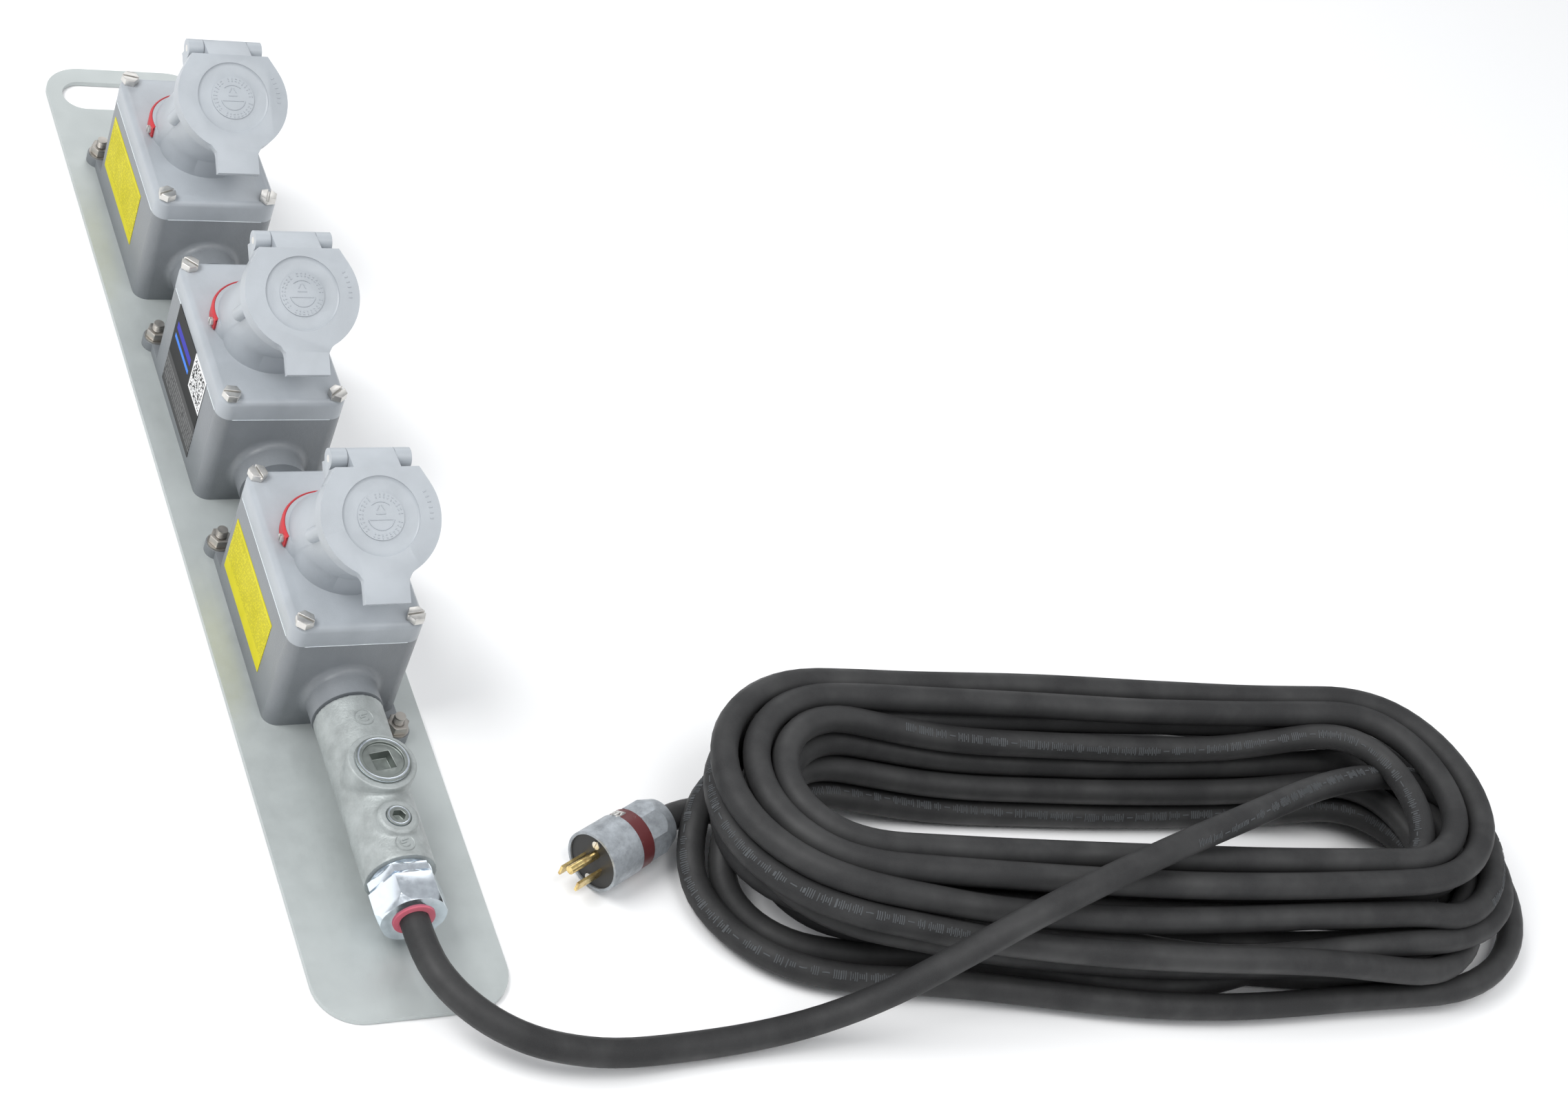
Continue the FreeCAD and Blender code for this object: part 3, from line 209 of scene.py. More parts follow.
def casting_paint(name, shade, grain):
    """Grey enamel over a casting: shade is its lightness and grain how rough the casting is."""
    finish = Finish(name, Coat_Weight=0.25, Coat_Roughness=0.3)
    patches = finish.noise(0.03, detail=3)
    peel = finish.noise(0.0022, detail=2, rough=0.4)
    sand = finish.noise(0.0007, detail=4, rough=0.7)
    finish.colour_by(patches, grey(0.93 * shade, COOL), grey(1.06 * shade, COOL))
    finish.give("Roughness", finish.spread(patches, 0.36, 0.46))
    finish.bump(finish.maths("ADD", peel, sand), grain, 0.6)
    return finish.material


def steel(name, shade, roughness, tint=(1, 0.98, 0.94)):
    """Turned or plated steel with fine marks and a little dullness in patches."""
    finish = Finish(name, metallic=1.0)
    marks = finish.noise(0.0006, stretch=(1, 1, 0.15), detail=3)
    dull = finish.noise(0.004, detail=3)
    finish.colour_by(dull, grey(0.88 * shade, tint), grey(shade, tint))
    finish.give("Roughness", finish.spread(dull, roughness, 1.6 * roughness))
    finish.bump(marks, 0.00001, 0.3)
    return finish.material


def rubber(name, colour, worn):
    """Matt rubber with a fine grain, paler where it has been handled."""
    finish = Finish(name, roughness=0.62, Specular_IOR_Level=0.35)
    grain = finish.noise(0.0005, detail=4, rough=0.7)
    handled = finish.noise(0.035, detail=4)
    colour_here = finish.mix(finish.spread(handled, 0, 1, 0.4, 0.75), colour, worn)
    finish.give("Base Color", finish.mix(finish.spread(grain, 0, 0.3), colour_here, worn))
    finish.give("Roughness", finish.spread(handled, 0.68, 0.52))
    finish.bump(grain, 0.00012, 0.45)
    return finish.material


def moulded(name, colour, roughness):
    """Plain plastic or paint, a little lighter and duller in patches."""
    finish = Finish(name)
    grain = finish.noise(0.0008, detail=3)
    patches = finish.noise(0.01, detail=3)
    lighter = tuple(min(1.25 * part + 0.006, 1) for part in colour[:3]) + (1,)
    finish.colour_by(patches, colour, lighter)
    finish.give("Roughness", finish.spread(patches, roughness, roughness + 0.12))
    finish.bump(grain, 0.00004, 0.4)
    return finish.material


def bright_brass():
    finish = Finish("brass", metallic=1.0)
    tarnish = finish.noise(0.004, detail=4)
    finish.colour_by(tarnish, (0.80, 0.62, 0.27, 1), (0.45, 0.30, 0.12, 1), 0.45, 0.7)
    finish.give("Roughness", finish.spread(tarnish, 0.20, 0.38))
    finish.bump(finish.noise(0.0005, detail=3), 0.00003, 0.4)
    return finish.material


def band_paint(name, colour, scuffed, amount):
    """A painted or taped band with scuffs that show what is under it."""
    finish = Finish(name)
    scuffs = finish.noise(0.0035, stretch=(1, 0.5, 1), detail=6, rough=0.7)
    worn = finish.spread(scuffs, 0, 1, 0.66 - amount, 0.72 - amount)
    shade = finish.noise(0.012, detail=3)
    darker = tuple(0.8 * part for part in colour[:3]) + (1,)
    finish.give("Base Color", finish.mix(worn, finish.mix(shade, darker, colour), scuffed))
    finish.give("Roughness", finish.spread(scuffs, 0.36, 0.5))
    finish.bump(scuffs, 0.0001, 0.3)
    return finish.material


def rough_aluminium():
    """Aluminium paint over a sand casting."""
    finish = Finish("aluminium_paint", metallic=0.35)
    patches = finish.noise(0.012, detail=5, rough=0.65)
    sand = finish.noise(0.0011, detail=4, rough=0.65)
    lumps = finish.noise(0.004, detail=2)
    finish.colour_by(patches, grey(0.34, GREENISH), grey(0.46, GREENISH))
    finish.give("Roughness", finish.spread(sand, 0.40, 0.56))
    finish.bump(finish.maths("ADD", sand, lumps), 0.0005, 0.55)
    return finish.material


def worn_aluminium():
    """Bare casting, darkened and dented by use."""
    finish = Finish("plug_metal", metallic=0.4)
    grime = finish.noise(0.008, detail=6, rough=0.7)
    scratches = finish.noise(0.0009, stretch=(1, 0.1, 1), detail=4)
    finish.colour_by(grime, grey(0.46, COOL), grey(0.28, COOL), 0.38, 0.66)
    finish.give("Roughness", finish.spread(grime, 0.38, 0.52))
    finish.bump(finish.maths("ADD", scratches, grime), 0.00012, 0.5)
    return finish.material


DASH = 0.0011                    # the usual length of a printed dash
ROW_SHIFT = 7.31                 # between the noise of one row of dashes and of the next
INK_LEVEL = 0.44                 # of the noise, above which there is ink


def ink_rows(finish, pitch, tall, seed):
    """Rows of short dashes along Y, one row every pitch of height: 1 where there is ink."""
    apart = finish.add("SeparateXYZ", Vector=finish.place)
    rows = finish.maths("DIVIDE", apart.outputs["Z"], pitch)
    row = finish.maths("FLOOR", rows)
    in_row = finish.maths("LESS_THAN", finish.maths("FRACT", rows), tall)
    along = finish.maths("MULTIPLY", apart.outputs["Y"], 1 / DASH)
    shift = finish.maths("MULTIPLY", row, ROW_SHIFT)
    dash_place = finish.add("CombineXYZ", X=along, Y=shift, Z=seed).outputs[0]
    dashes = finish.add("TexNoise", Vector=dash_place, Scale=1.0, Detail=1.0).outputs[0]
    return finish.maths("MULTIPLY", in_row, finish.maths("GREATER_THAN", dashes, INK_LEVEL)), apart


def inside(finish, value, low, high):
    """1 where the value lies between low and high."""
    above = finish.maths("GREATER_THAN", value, low)
    return finish.maths("MULTIPLY", above, finish.maths("LESS_THAN", value, high))


def printed_label(name, paper, ink, low, high):
    """A film label with rows of generic dashes between two heights."""
    finish = Finish(name, Specular_IOR_Level=0.3)
    rows, apart = ink_rows(finish, 0.00165, 0.5, 3.0)
    printed = finish.maths("MULTIPLY", rows, inside(finish, apart.outputs["Z"], low, high))
    faded = finish.maths("MULTIPLY", printed, 0.42)
    patches = finish.noise(0.02, detail=3)
    darker = tuple(0.9 * part for part in paper[:3]) + (1,)
    film = finish.mix(finish.spread(patches, 0, 1), paper, darker)
    finish.give("Base Color", finish.mix(faded, film, ink))
    finish.give("Roughness", finish.spread(patches, 0.5, 0.6))
    finish.bump(finish.noise(0.0015, detail=3), 0.00004, 0.3)
    return finish.material


def box_label(name):
    """A black film label: two plain blue bars, a chequered white patch and a grey printed foot."""
    finish = Finish(name, roughness=0.45, Specular_IOR_Level=0.12)
    rows, apart = ink_rows(finish, 0.0026, 0.6, 9.0)
    low = Vector(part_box("wall_label_2")[0])
    along = finish.maths("SUBTRACT", apart.outputs["Y"], low.y)
    above = finish.maths("SUBTRACT", apart.outputs["Z"], low.z)
    foot = finish.maths("LESS_THAN", above, 23 * MM)
    printed = finish.maths("MULTIPLY", rows, inside(finish, above, 4 * MM, 19 * MM))
    foot_colour = finish.mix(finish.maths("MULTIPLY", printed, 0.5), grey(0.075), grey(0.30))
    colour = finish.mix(foot, grey(0.012), foot_colour)

    indigo, azure = (0.03, 0.03, 0.42, 1), (0.05, 0.22, 0.80, 1)
    for height, tall, blue in ((43 * MM, 5 * MM, indigo), (36.5 * MM, 3 * MM, azure)):
        bar = finish.maths("MULTIPLY", inside(finish, above, height, height + tall),
                           inside(finish, along, 30 * MM, 62 * MM))
        colour = finish.mix(bar, colour, blue)

    patch = finish.maths("MULTIPLY", inside(finish, along, 0, 25 * MM),
                         inside(finish, above, 33 * MM, 1))
    chequered = finish.maths("MULTIPLY", inside(finish, along, 1.6 * MM, 23.4 * MM),
                             inside(finish, above, 34.6 * MM, 56.4 * MM))
    cell, dark_level = 0.9 * MM, 0.52
    column = finish.maths("FLOOR", finish.maths("DIVIDE", along, cell))
    line = finish.maths("FLOOR", finish.maths("DIVIDE", above, cell))
    cells = finish.add("CombineXYZ", X=column, Y=line).outputs[0]
    chance = finish.add("TexWhiteNoise", Vector=cells).outputs[0]
    dark = finish.maths("MULTIPLY", chequered, finish.maths("GREATER_THAN", chance, dark_level))
    finish.give("Base Color", finish.mix(patch, colour, finish.mix(dark, grey(0.85), grey(0.02))))
    finish.bump(finish.noise(0.0015, detail=3), 0.00004, 0.3)
    return finish.material


def make_materials():
    """Every material by the name of what it is used for."""
    yellow, ink = (0.68, 0.61, 0.0, 1), (0.12, 0.10, 0.0, 1)
    foot_1, foot_3 = (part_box("wall_label_%d" % station)[0][2] for station in (1, 3))
    return {
        "plate": galvanised_plate(),
        # painted shade: the box walls take a darker copy of the covers' grey enamel, standing for the
        # shade on them
        "box": casting_paint("grey_casting_box_painted_shade", 0.215, 0.00022),
        "cover": casting_paint("grey_casting_cover", 0.44, 0.0001),
        "steel": steel("stainless_steel", 0.74, 0.3),
        "dull_steel": steel("weathered_steel", 0.50, 0.34, (1, 0.95, 0.88)),
        "dull_zinc": steel("dull_zinc", 0.34, 0.34, (0.92, 1.0, 0.95)),
        "zinc": steel("zinc_plate", 0.88, 0.14, COOL),
        "gasket": rubber("gasket_rubber", grey(0.02), grey(0.04)),
        "black": moulded("black_plastic", grey(0.016), 0.42),
        "brass": bright_brass(),
        "red": band_paint("red_band", (0.62, 0.035, 0.045, 1), (0.75, 0.30, 0.30, 1), 0.0),
        "yellow_1": printed_label("yellow_label_1", yellow, ink, foot_1 + 9 * MM, foot_1 + 35 * MM),
        "yellow_3": printed_label("yellow_label_3", yellow, ink, foot_3 + 5 * MM, foot_3 + 36 * MM),
        "black_label": box_label("black_label"),
        "seal": rough_aluminium(),
        "compound": moulded("sealing_compound", (0.30, 0.28, 0.22, 1), 0.7),
        "wire": moulded("wire_insulation", grey(0.05), 0.4),
        "pink": rubber("pink_rubber", (0.70, 0.13, 0.19, 1), (0.80, 0.24, 0.30, 1)),
        "cord": rubber("cord_jacket", grey(0.022, (1.0, 1.0, 1.04)), grey(0.050)),
        "plug": worn_aluminium(),
        "maroon": band_paint("maroon_band", (0.12, 0.022, 0.024, 1), (0.42, 0.36, 0.34, 1), 0.02),
        "print": moulded("cord_print", grey(0.068, COOL), 0.7),
        # painted highlight: the light grey of the band along each cover's lower edge
        "joint": moulded("joint_edge_painted_highlight", grey(0.80, COOL), 0.35),
    }


# which material each CAD node takes: the first of these that its name starts with
NODE_FINISHES = [
    ("mounting_plate", "plate"), ("box_body", "box"), ("receptacle_cover", "cover"),
    ("lid_spring", "steel"), ("lid_gasket", "gasket"), ("lid_", "cover"), ("lug_", "dull_steel"),
    ("ground_screws", "steel"), ("cover_screws", "steel"), ("band_screws", "steel"),
    ("hinge_pin", "steel"), ("keying_band", "red"), ("receptacle_insert", "black"),
    ("receptacle_contacts", "brass"), ("wall_label_1", "yellow_1"), ("wall_label_2", "black_label"),
    ("wall_label_3", "yellow_3"), ("nipple", "zinc"), ("seal_fitting", "seal"), ("seal_", "zinc"),
    ("sealing_compound", "compound"), ("conductors", "wire"), ("gland_bush", "pink"),
    ("gland_", "zinc"), ("cord_", "cord"), ("plug_face", "black"), ("plug_band", "maroon"),
    ("plug_blades", "brass"), ("plug_screws", "steel"), ("plug_", "plug"),
]


def finish_nodes():
    for name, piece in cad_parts.items():
        chosen = next(finish for start, finish in NODE_FINISHES if name.startswith(start))
        for slot in piece.material_slots:
            slot.material = materials[chosen]


# ---------------------------------------------------------------- pieces

STATIONS = (1, 2, 3)
BOX_Y = [-123.5 * MM, 43.5 * MM, 210.5 * MM]     # the middle of each station's box
BOX_HALF_X = 36.5 * MM
BOX_HALF_Y = 58 * MM
BOX_CORNER = 9 * MM              # radius of a box's upright corners
JOINT_HEIGHT = 66.5 * MM         # where a cover meets its box
LUG_X = 33 * MM                  # a lug's stud from its box's middle
LUG_Y = 70 * MM
HUB_HEIGHT = 28 * MM             # of the axis of the hubs, the seal and the gland
HUB_RADIUS = 19.5 * MM
SEAL_RADIUS = 19 * MM
COLLAR_Y = 5 * MM                # a tube's collar from its box's middle
COLLAR_TOP = 86.95 * MM
COLLAR_RADIUS = 27.95 * MM
LID_Y = -38 * MM                 # the middle of a lid's face from its box's middle
LID_HEIGHT = 143.6 * MM
LID_RADIUS = 32.6 * MM
TILT = math.radians(34.2)        # of a lid's face


def linked(name, data):
    """A new object in the scene."""
    piece = bpy.data.objects.new(name, data)
    bpy.context.collection.objects.link(piece)
    return piece


def lid_frame(station):
    """The middle of a lid's face: X across, Y towards its hinge, Z out of the lid."""
    middle = Vector((0, BOX_Y[station - 1] + LID_Y, LID_HEIGHT))
    return Matrix.Translation(middle) @ Matrix.Rotation(TILT, 4, "X")


def keep(name, mesh, material, body="base"):
    """A finished mesh as a piece that rides on a body."""
    mesh.materials.clear()
    mesh.materials.append(materials[material])
    mesh.shade_smooth()
    mesh.set_sharp_from_angle(angle=math.radians(40))
    piece = linked(name, mesh)
    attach(piece, body)
    return piece


def mesh_from(form, name):
    bmesh.ops.recalc_face_normals(form, faces=form.faces)
    mesh = bpy.data.meshes.new(name)
    form.to_mesh(mesh)
    form.free()
    return mesh


def keep_form(name, form, material, body="base"):
    return keep(name, mesh_from(form, name), material, body)


def join_rows(form, rows):
    """Faces between each closed row of points and the next."""
    for row, following in zip(rows, rows[1:]):
        for number in range(len(row)):
            beside = (number + 1) % len(row)
            form.faces.new((row[number], row[beside], following[beside], following[number]))


def turn_profile(form, profile, place, segments=48):
    """Revolve a closed outline of (radius, height) points round the place's Z axis."""
    rings = []
    for radius, height in profile:
        ring = []
        for step in range(segments):
            angle = 2 * math.pi * step / segments
            point = Vector((radius * math.cos(angle), radius * math.sin(angle), height))
            ring.append(form.verts.new(place @ point))
        rings.append(ring)
    join_rows(form, rings + rings[:1])


def raised_bar(form, place, x, y, turn, length, width, height):
    """A low cast bar with sloping sides and a narrower top, lying on the place's XY plane."""
    local = place @ Matrix.Translation((x, y, 0)) @ Matrix.Rotation(turn, 4, "Z")
    slope = 0.25 * width
    levels = []
    for share, inset in ((-0.2, 0.0), (0.65, 0.35 * slope), (1.0, slope)):
        half_x, half_y = length / 2 - inset, width / 2 - inset
        corners = ((-half_x, -half_y), (half_x, -half_y), (half_x, half_y), (-half_x, half_y))
        levels.append([form.verts.new(local @ Vector((a, b, share * height))) for a, b in corners])
    join_rows(form, levels)
    form.faces.new(levels[-1])
    form.faces.new(levels[0][::-1])


def raised_arc(form, place, radius, start, end, width, height, steps=40):
    """A low rounded ridge along an arc, from one angle in degrees to another."""
    section = [(-0.5, -0.2), (-0.38, 0.55), (0.0, 1.0), (0.38, 0.55), (0.5, -0.2)]
    start, end = math.radians(start), math.radians(end)
    rows = []
    for step in range(steps + 1):
        angle = start + (end - start) * step / steps
        row = []
        for out, up in section:
            away = radius + out * width
            point = Vector((away * math.cos(angle), away * math.sin(angle), up * height))
            row.append(form.verts.new(place @ point))
        rows.append(row)
    join_rows(form, rows)
    form.faces.new(rows[0])
    form.faces.new(rows[-1][::-1])


def make_lid_marks(station):
    """Cast marks on a lid: a ring of short bars and a plain device in its dish, and bars on its rim."""
    chance = random.Random(station)
    form = bmesh.new()
    face = lid_frame(station)
    dish = face @ Matrix.Translation((0, 0, -0.6 * MM))
    wide, proud = 0.5 * MM, 0.35 * MM
    count = 30
    for number in range(count):
        angle = 2 * math.pi * (number + 0.5) / count
        if number % 10 == 9:
            continue
        for radius in (10.0 * MM, 11.5 * MM):
            long = chance.choice((0.8, 1.1)) * MM
            raised_bar(form, dish, radius * math.cos(angle), radius * math.sin(angle),
                       angle + chance.choice((0, math.pi / 2)), long, wide, proud)
    for start, end in ((195, 345), (50, 130)):
        raised_arc(form, dish, 7.4 * MM, start, end, wide, proud)
    for y, long in ((-1.9 * MM, 12.5 * MM), (1.2 * MM, 5.2 * MM)):
        raised_bar(form, dish, 0, y, 0, long, 0.6 * MM, proud)
    for side in (-1, 1):
        raised_bar(form, dish, side * 1.3 * MM, 4.4 * MM, math.radians(90 + side * 28), 3.2 * MM,
                   wide, proud)
    for number in range(6):
        angle = math.radians(-4 + 6.2 * number)
        reach = 27.2 * MM
        raised_bar(form, face, reach * math.cos(angle), reach * math.sin(angle), angle, 2.0 * MM,
                   0.7 * MM, 0.3 * MM)
    keep_form("lid_marks_%d" % station, form, "cover", "lid_%d_assembly" % station)


def make_stud_threads():
    """Threads on the lug studs, above and below their nuts."""
    form = bmesh.new()
    stud_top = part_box("lug_studs")[1][2]
    nut_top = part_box("lug_nuts")[1][2]
    pitch, crest, root, core = 1.0 * MM, 3.3 * MM, 2.85 * MM, 2.5 * MM
    for station_y in BOX_Y:
        for side in (-1, 1):
            place = Matrix.Translation((side * LUG_X, station_y - side * LUG_Y, 0))
            height = nut_top - 0.2 * MM
            profile = [(core, height)]
            while height < stud_top - pitch:
                profile += [(root, height), (crest, height + 0.5 * pitch)]
                height += pitch
            profile += [(root, height), (core, height)]
            turn_profile(form, profile, place, segments=24)
    keep_form("stud_threads", form, "dull_steel")


def along_run(y):
    """A place on the axis of the hubs and the seal, with Z along +Y."""
    return Matrix.Translation((0, y, HUB_HEIGHT)) @ Matrix.Rotation(-math.pi / 2, 4, "X")


def make_hub_fillets():
    """Cast fillets where each hub leaves its box."""
    form = bmesh.new()
    radius, sunk, steps = 4.5 * MM, 0.5 * MM, 6
    for station_y in BOX_Y:
        for end in (-1, 1):
            place = Matrix.Translation((0, station_y + end * BOX_HALF_Y, HUB_HEIGHT))
            place = place @ Matrix.Rotation(-end * math.pi / 2, 4, "X")
            profile = [(HUB_RADIUS - sunk, -sunk), (HUB_RADIUS - sunk, radius)]
            for step in range(steps + 1):
                angle = math.pi / 2 * step / steps
                profile.append((HUB_RADIUS + radius - radius * math.cos(angle),
                                radius - radius * math.sin(angle)))
            profile.append((HUB_RADIUS + radius, -sunk))
            turn_profile(form, profile, place)
    keep_form("hub_fillets", form, "box")


def evaluated_mesh(piece):
    """The mesh of a work piece with its modifiers applied; the work piece is removed."""
    mesh = bpy.data.meshes.new_from_object(piece.evaluated_get(bpy.context.evaluated_depsgraph_get()))
    bpy.data.objects.remove(piece)
    return mesh


def make_seal_casting():
    """The seal fitting with its bosses blended into the barrel as in a sand casting."""
    work = linked("work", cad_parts["seal_fitting"].data.copy())
    remesh = work.modifiers.new("skin", "REMESH")
    remesh.mode = "VOXEL"
    remesh.voxel_size = 0.8 * MM
    mesh = evaluated_mesh(work)
    work = linked("work", mesh)
    blended = work.vertex_groups.new(name="blended")
    low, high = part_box("seal_fitting")
    for vertex in mesh.vertices:
        x, y, z = vertex.co
        outside = math.hypot(x, z - HUB_HEIGHT) > 0.9 * SEAL_RADIUS
        off_end = smooth(min(y - low[1], high[1] - y), 1.5 * MM, 6 * MM)
        below_rim = 1 - smooth(z, high[2] - 3.5 * MM, high[2] - 1 * MM)
        blended.add([vertex.index], off_end * below_rim if outside else 0.0, "REPLACE")
    soften = work.modifiers.new("soften", "SMOOTH")
    soften.factor = 0.5
    soften.iterations = 16
    soften.vertex_group = "blended"
    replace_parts(keep("seal_casting", evaluated_mesh(work), "seal"), "seal_fitting")


def in_metres(profile):
    return [(radius * MM, height * MM) for radius, height in profile]


def above_plug(name):
    """A place over the middle of one of the seal's plugs, at no height."""
    low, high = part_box(name)
    return Matrix.Translation((0, (low[1] + high[1]) / 2, 0))


def make_boss_rings():
    """The machined rims of the seal's two bosses, round their plugs."""
    form = bmesh.new()
    for name, inner, outer, edge, top in (("seal_fill_plug", 14.8, 18.3, 1.0, 51.7),
                                          ("seal_drain_plug", 6.7, 10.4, 1.4, 49.7)):
        profile = [(inner, top - 5), (inner, top - 0.3), (inner + 0.3, top)]
        for step in range(5):
            angle = math.pi / 2 * (1 - step / 4)
            profile.append((outer - edge + edge * math.cos(angle), top - edge + edge * math.sin(angle)))
        profile.append((outer, top - 5))
        turn_profile(form, in_metres(profile), above_plug(name))
    keep_form("boss_rings", form, "seal")


def make_plug_rims():
    """Bright turned rims on the seal's two plugs, standing round their duller sockets."""
    form = bmesh.new()
    deep, crown = 1.4, 0.7
    for name, inner, outer in (("seal_fill_plug", 11.9, 14.65), ("seal_drain_plug", 4.4, 6.45)):
        place = above_plug(name) @ Matrix.Translation((0, 0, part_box(name)[1][2] + 0.05 * MM))
        half, middle = (outer - inner) / 2, (outer + inner) / 2
        profile = [(inner, -deep)]
        for step in range(9):
            angle = math.pi * (1 - step / 8)
            profile.append((middle + half * math.cos(angle), crown * math.sin(angle) - crown))
        profile.append((outer, -deep))
        turn_profile(form, in_metres(profile), place)
    keep_form("plug_rims", form, "zinc")


def make_seal_marks():
    """A round cast mark near each end of the seal fitting, wrapped round its barrel."""
    form = bmesh.new()
    flat = Matrix.Identity(4)
    wide = 0.7 * MM
    for y in (-214.5 * MM, -297 * MM):
        raised_arc(form, flat, 5.0 * MM, 0, 360, wide, 0.5 * MM, 48)
        raised_arc(form, flat, 2.6 * MM, 150, 330, wide, 0.45 * MM, 24)
        raised_bar(form, flat, 0.4 * MM, 1.7 * MM, 0.3, 3.6 * MM, wide, 0.5 * MM)
        raised_bar(form, flat, -0.6 * MM, -0.2 * MM, 0.3, 3.0 * MM, wide, 0.5 * MM)
        for vertex in form.verts:
            if vertex.tag:
                continue
            x, along, up = vertex.co
            angle = x / SEAL_RADIUS
            away = SEAL_RADIUS + up
            vertex.co = (away * math.sin(angle), y + along, HUB_HEIGHT + away * math.cos(angle))
            vertex.tag = True
    keep_form("seal_marks", form, "seal")


def make_thread_rings():
    """The pipe threads that show at the two ends of the seal fitting."""
    form = bmesh.new()
    low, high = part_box("seal_fitting")
    pitch, crest, root, core = 0.9 * MM, 16.4 * MM, 15.2 * MM, 13.4 * MM
    for start, count in ((high[1] - 0.5 * MM, 3), (low[1] - 2.6 * MM, 4)):
        profile = [(core, 0)]
        for number in range(count):
            profile += [(root, number * pitch), (crest, (number + 0.5) * pitch)]
        profile += [(root, count * pitch), (core, count * pitch)]
        turn_profile(form, profile, along_run(start))
    keep_form("pipe_threads", form, "zinc")


def soften_node(name, width, material, body="base", reshape=None):
    """A copy of a CAD node with its sharp edges rounded off, some millimetres wide, to stand for it."""
    form = bmesh.new()
    form.from_mesh(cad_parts[name].data)
    bmesh.ops.remove_doubles(form, verts=form.verts, dist=0.002 * MM)
    bmesh.ops.dissolve_limit(form, angle_limit=math.radians(0.6), verts=form.verts, edges=form.edges)
    if reshape:
        for vertex in form.verts:
            vertex.co = reshape(vertex.co.copy())
    work = linked("work", mesh_from(form, name + "_soft"))
    bevel = work.modifiers.new("edges", "BEVEL")
    bevel.width = width * MM
    bevel.segments = 3
    bevel.limit_method = "ANGLE"
    bevel.angle_limit = math.radians(32)
    bevel.miter_outer = "MITER_ARC"
    work.modifiers.new("flats", "WEIGHTED_NORMAL").keep_sharp = True
    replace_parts(keep(name + "_cast", evaluated_mesh(work), material, body), name)


def tuck_tab_root(point):
    """The square corners at the root of a lid's tab, moved in under the curves drawn there."""
    corner_x, tucked_x, nearby = 14.7 * MM, 12.7 * MM, 0.4 * MM
    for station in STATIONS:
        place = lid_frame(station).inverted() @ point
        if abs(abs(place.x) - corner_x) < nearby and abs(place.y + LID_RADIUS) < nearby:
            place.x = math.copysign(tucked_x, place.x)
            return lid_frame(station) @ place
    return point


# castings and fittings whose edges catch the light, each station's and the others: how wide
# their edges are rounded, in millimetres, and their material
STATION_CASTINGS = [
    ("receptacle_cover_%d", 0.9, "cover"), ("box_body_%d", 0.8, "box"), ("cover_screws_%d", 0.3, "steel"),
]
FITTINGS = [
    ("seal_fill_plug", 0.4, "dull_zinc"), ("seal_drain_plug", 0.3, "dull_zinc"),
    ("gland_nut", 0.4, "zinc"), ("gland_body", 0.3, "zinc"), ("lug_nuts", 0.25, "dull_steel"),
]


def make_soft_castings():
    for station in STATIONS:
        soften_node("lid_%d" % station, 0.7, "cover", "lid_%d_assembly" % station, tuck_tab_root)
        for name, width, material in STATION_CASTINGS:
            soften_node(name % station, width, material)
    for name, width, material in FITTINGS:
        soften_node(name, width, material)


PLUG_TURN = math.radians(25.6)   # the plug's axis, from the X axis
PLUG_RADIUS = 16.6 * MM          # out to the face of its band


def make_plug_ear():
    """The small screw and ear on each side of the plug's band that hold it."""
    form = bmesh.new()
    low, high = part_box("plug_band")
    band = Matrix.Translation((low + high) / 2) @ Matrix.Rotation(PLUG_TURN, 4, "Z")
    ear_top = 1.1
    head = [(0.5, 0.9), (2.5, 0.9), (2.5, 1.5), (2.1, 1.85), (1.2, 2.0), (0.5, 2.0)]
    head = in_metres([(radius, height - ear_top) for radius, height in head])
    for turn in (38, -142):
        place = band @ Matrix.Rotation(math.radians(-turn), 4, "X")
        place = place @ Matrix.Translation((-3.2 * MM, 0, PLUG_RADIUS))
        raised_bar(form, place, 0.8 * MM, 0, 0, 7.5 * MM, 6.5 * MM, ear_top * MM)
        turn_profile(form, head, place @ Matrix.Translation((0, 0, ear_top * MM)), segments=20)
    return keep_form("plug_ear", form, "steel")


def make_band_beads():
    """The bead where each red band turns over its collar."""
    form = bmesh.new()
    for station_y in BOX_Y:
        foot = Matrix.Translation((0, station_y + COLLAR_Y, COLLAR_TOP))
        raised_arc(form, foot, COLLAR_RADIUS, -10, 190, 2.6 * MM, 1.95 * MM, 60)
    keep_form("band_beads", form, "red")


def make_joint_highlight_lines():
    """A light-grey band all round where each cover meets its box: a painted highlight for the light
    caught along the cover's lower edge.
    """
    form = bmesh.new()
    for station_y in BOX_Y:
        rings = []
        for proud, height in ((-0.4, -0.35), (0.12, -0.2), (0.12, 0.1), (-0.4, 0.25)):
            reach = BOX_CORNER + proud * MM
            ring = []
            for quarter, (side_x, side_y) in enumerate(((1, 1), (-1, 1), (-1, -1), (1, -1))):
                middle_x = side_x * (BOX_HALF_X - BOX_CORNER)
                middle_y = station_y + side_y * (BOX_HALF_Y - BOX_CORNER)
                for step in range(7):
                    angle = math.pi / 2 * (quarter + step / 6)
                    ring.append(form.verts.new((middle_x + reach * math.cos(angle),
                                                middle_y + reach * math.sin(angle),
                                                JOINT_HEIGHT + height * MM)))
            rings.append(ring)
        join_rows(form, rings + rings[:1])
    keep_form("joint_highlight_lines", form, "joint")


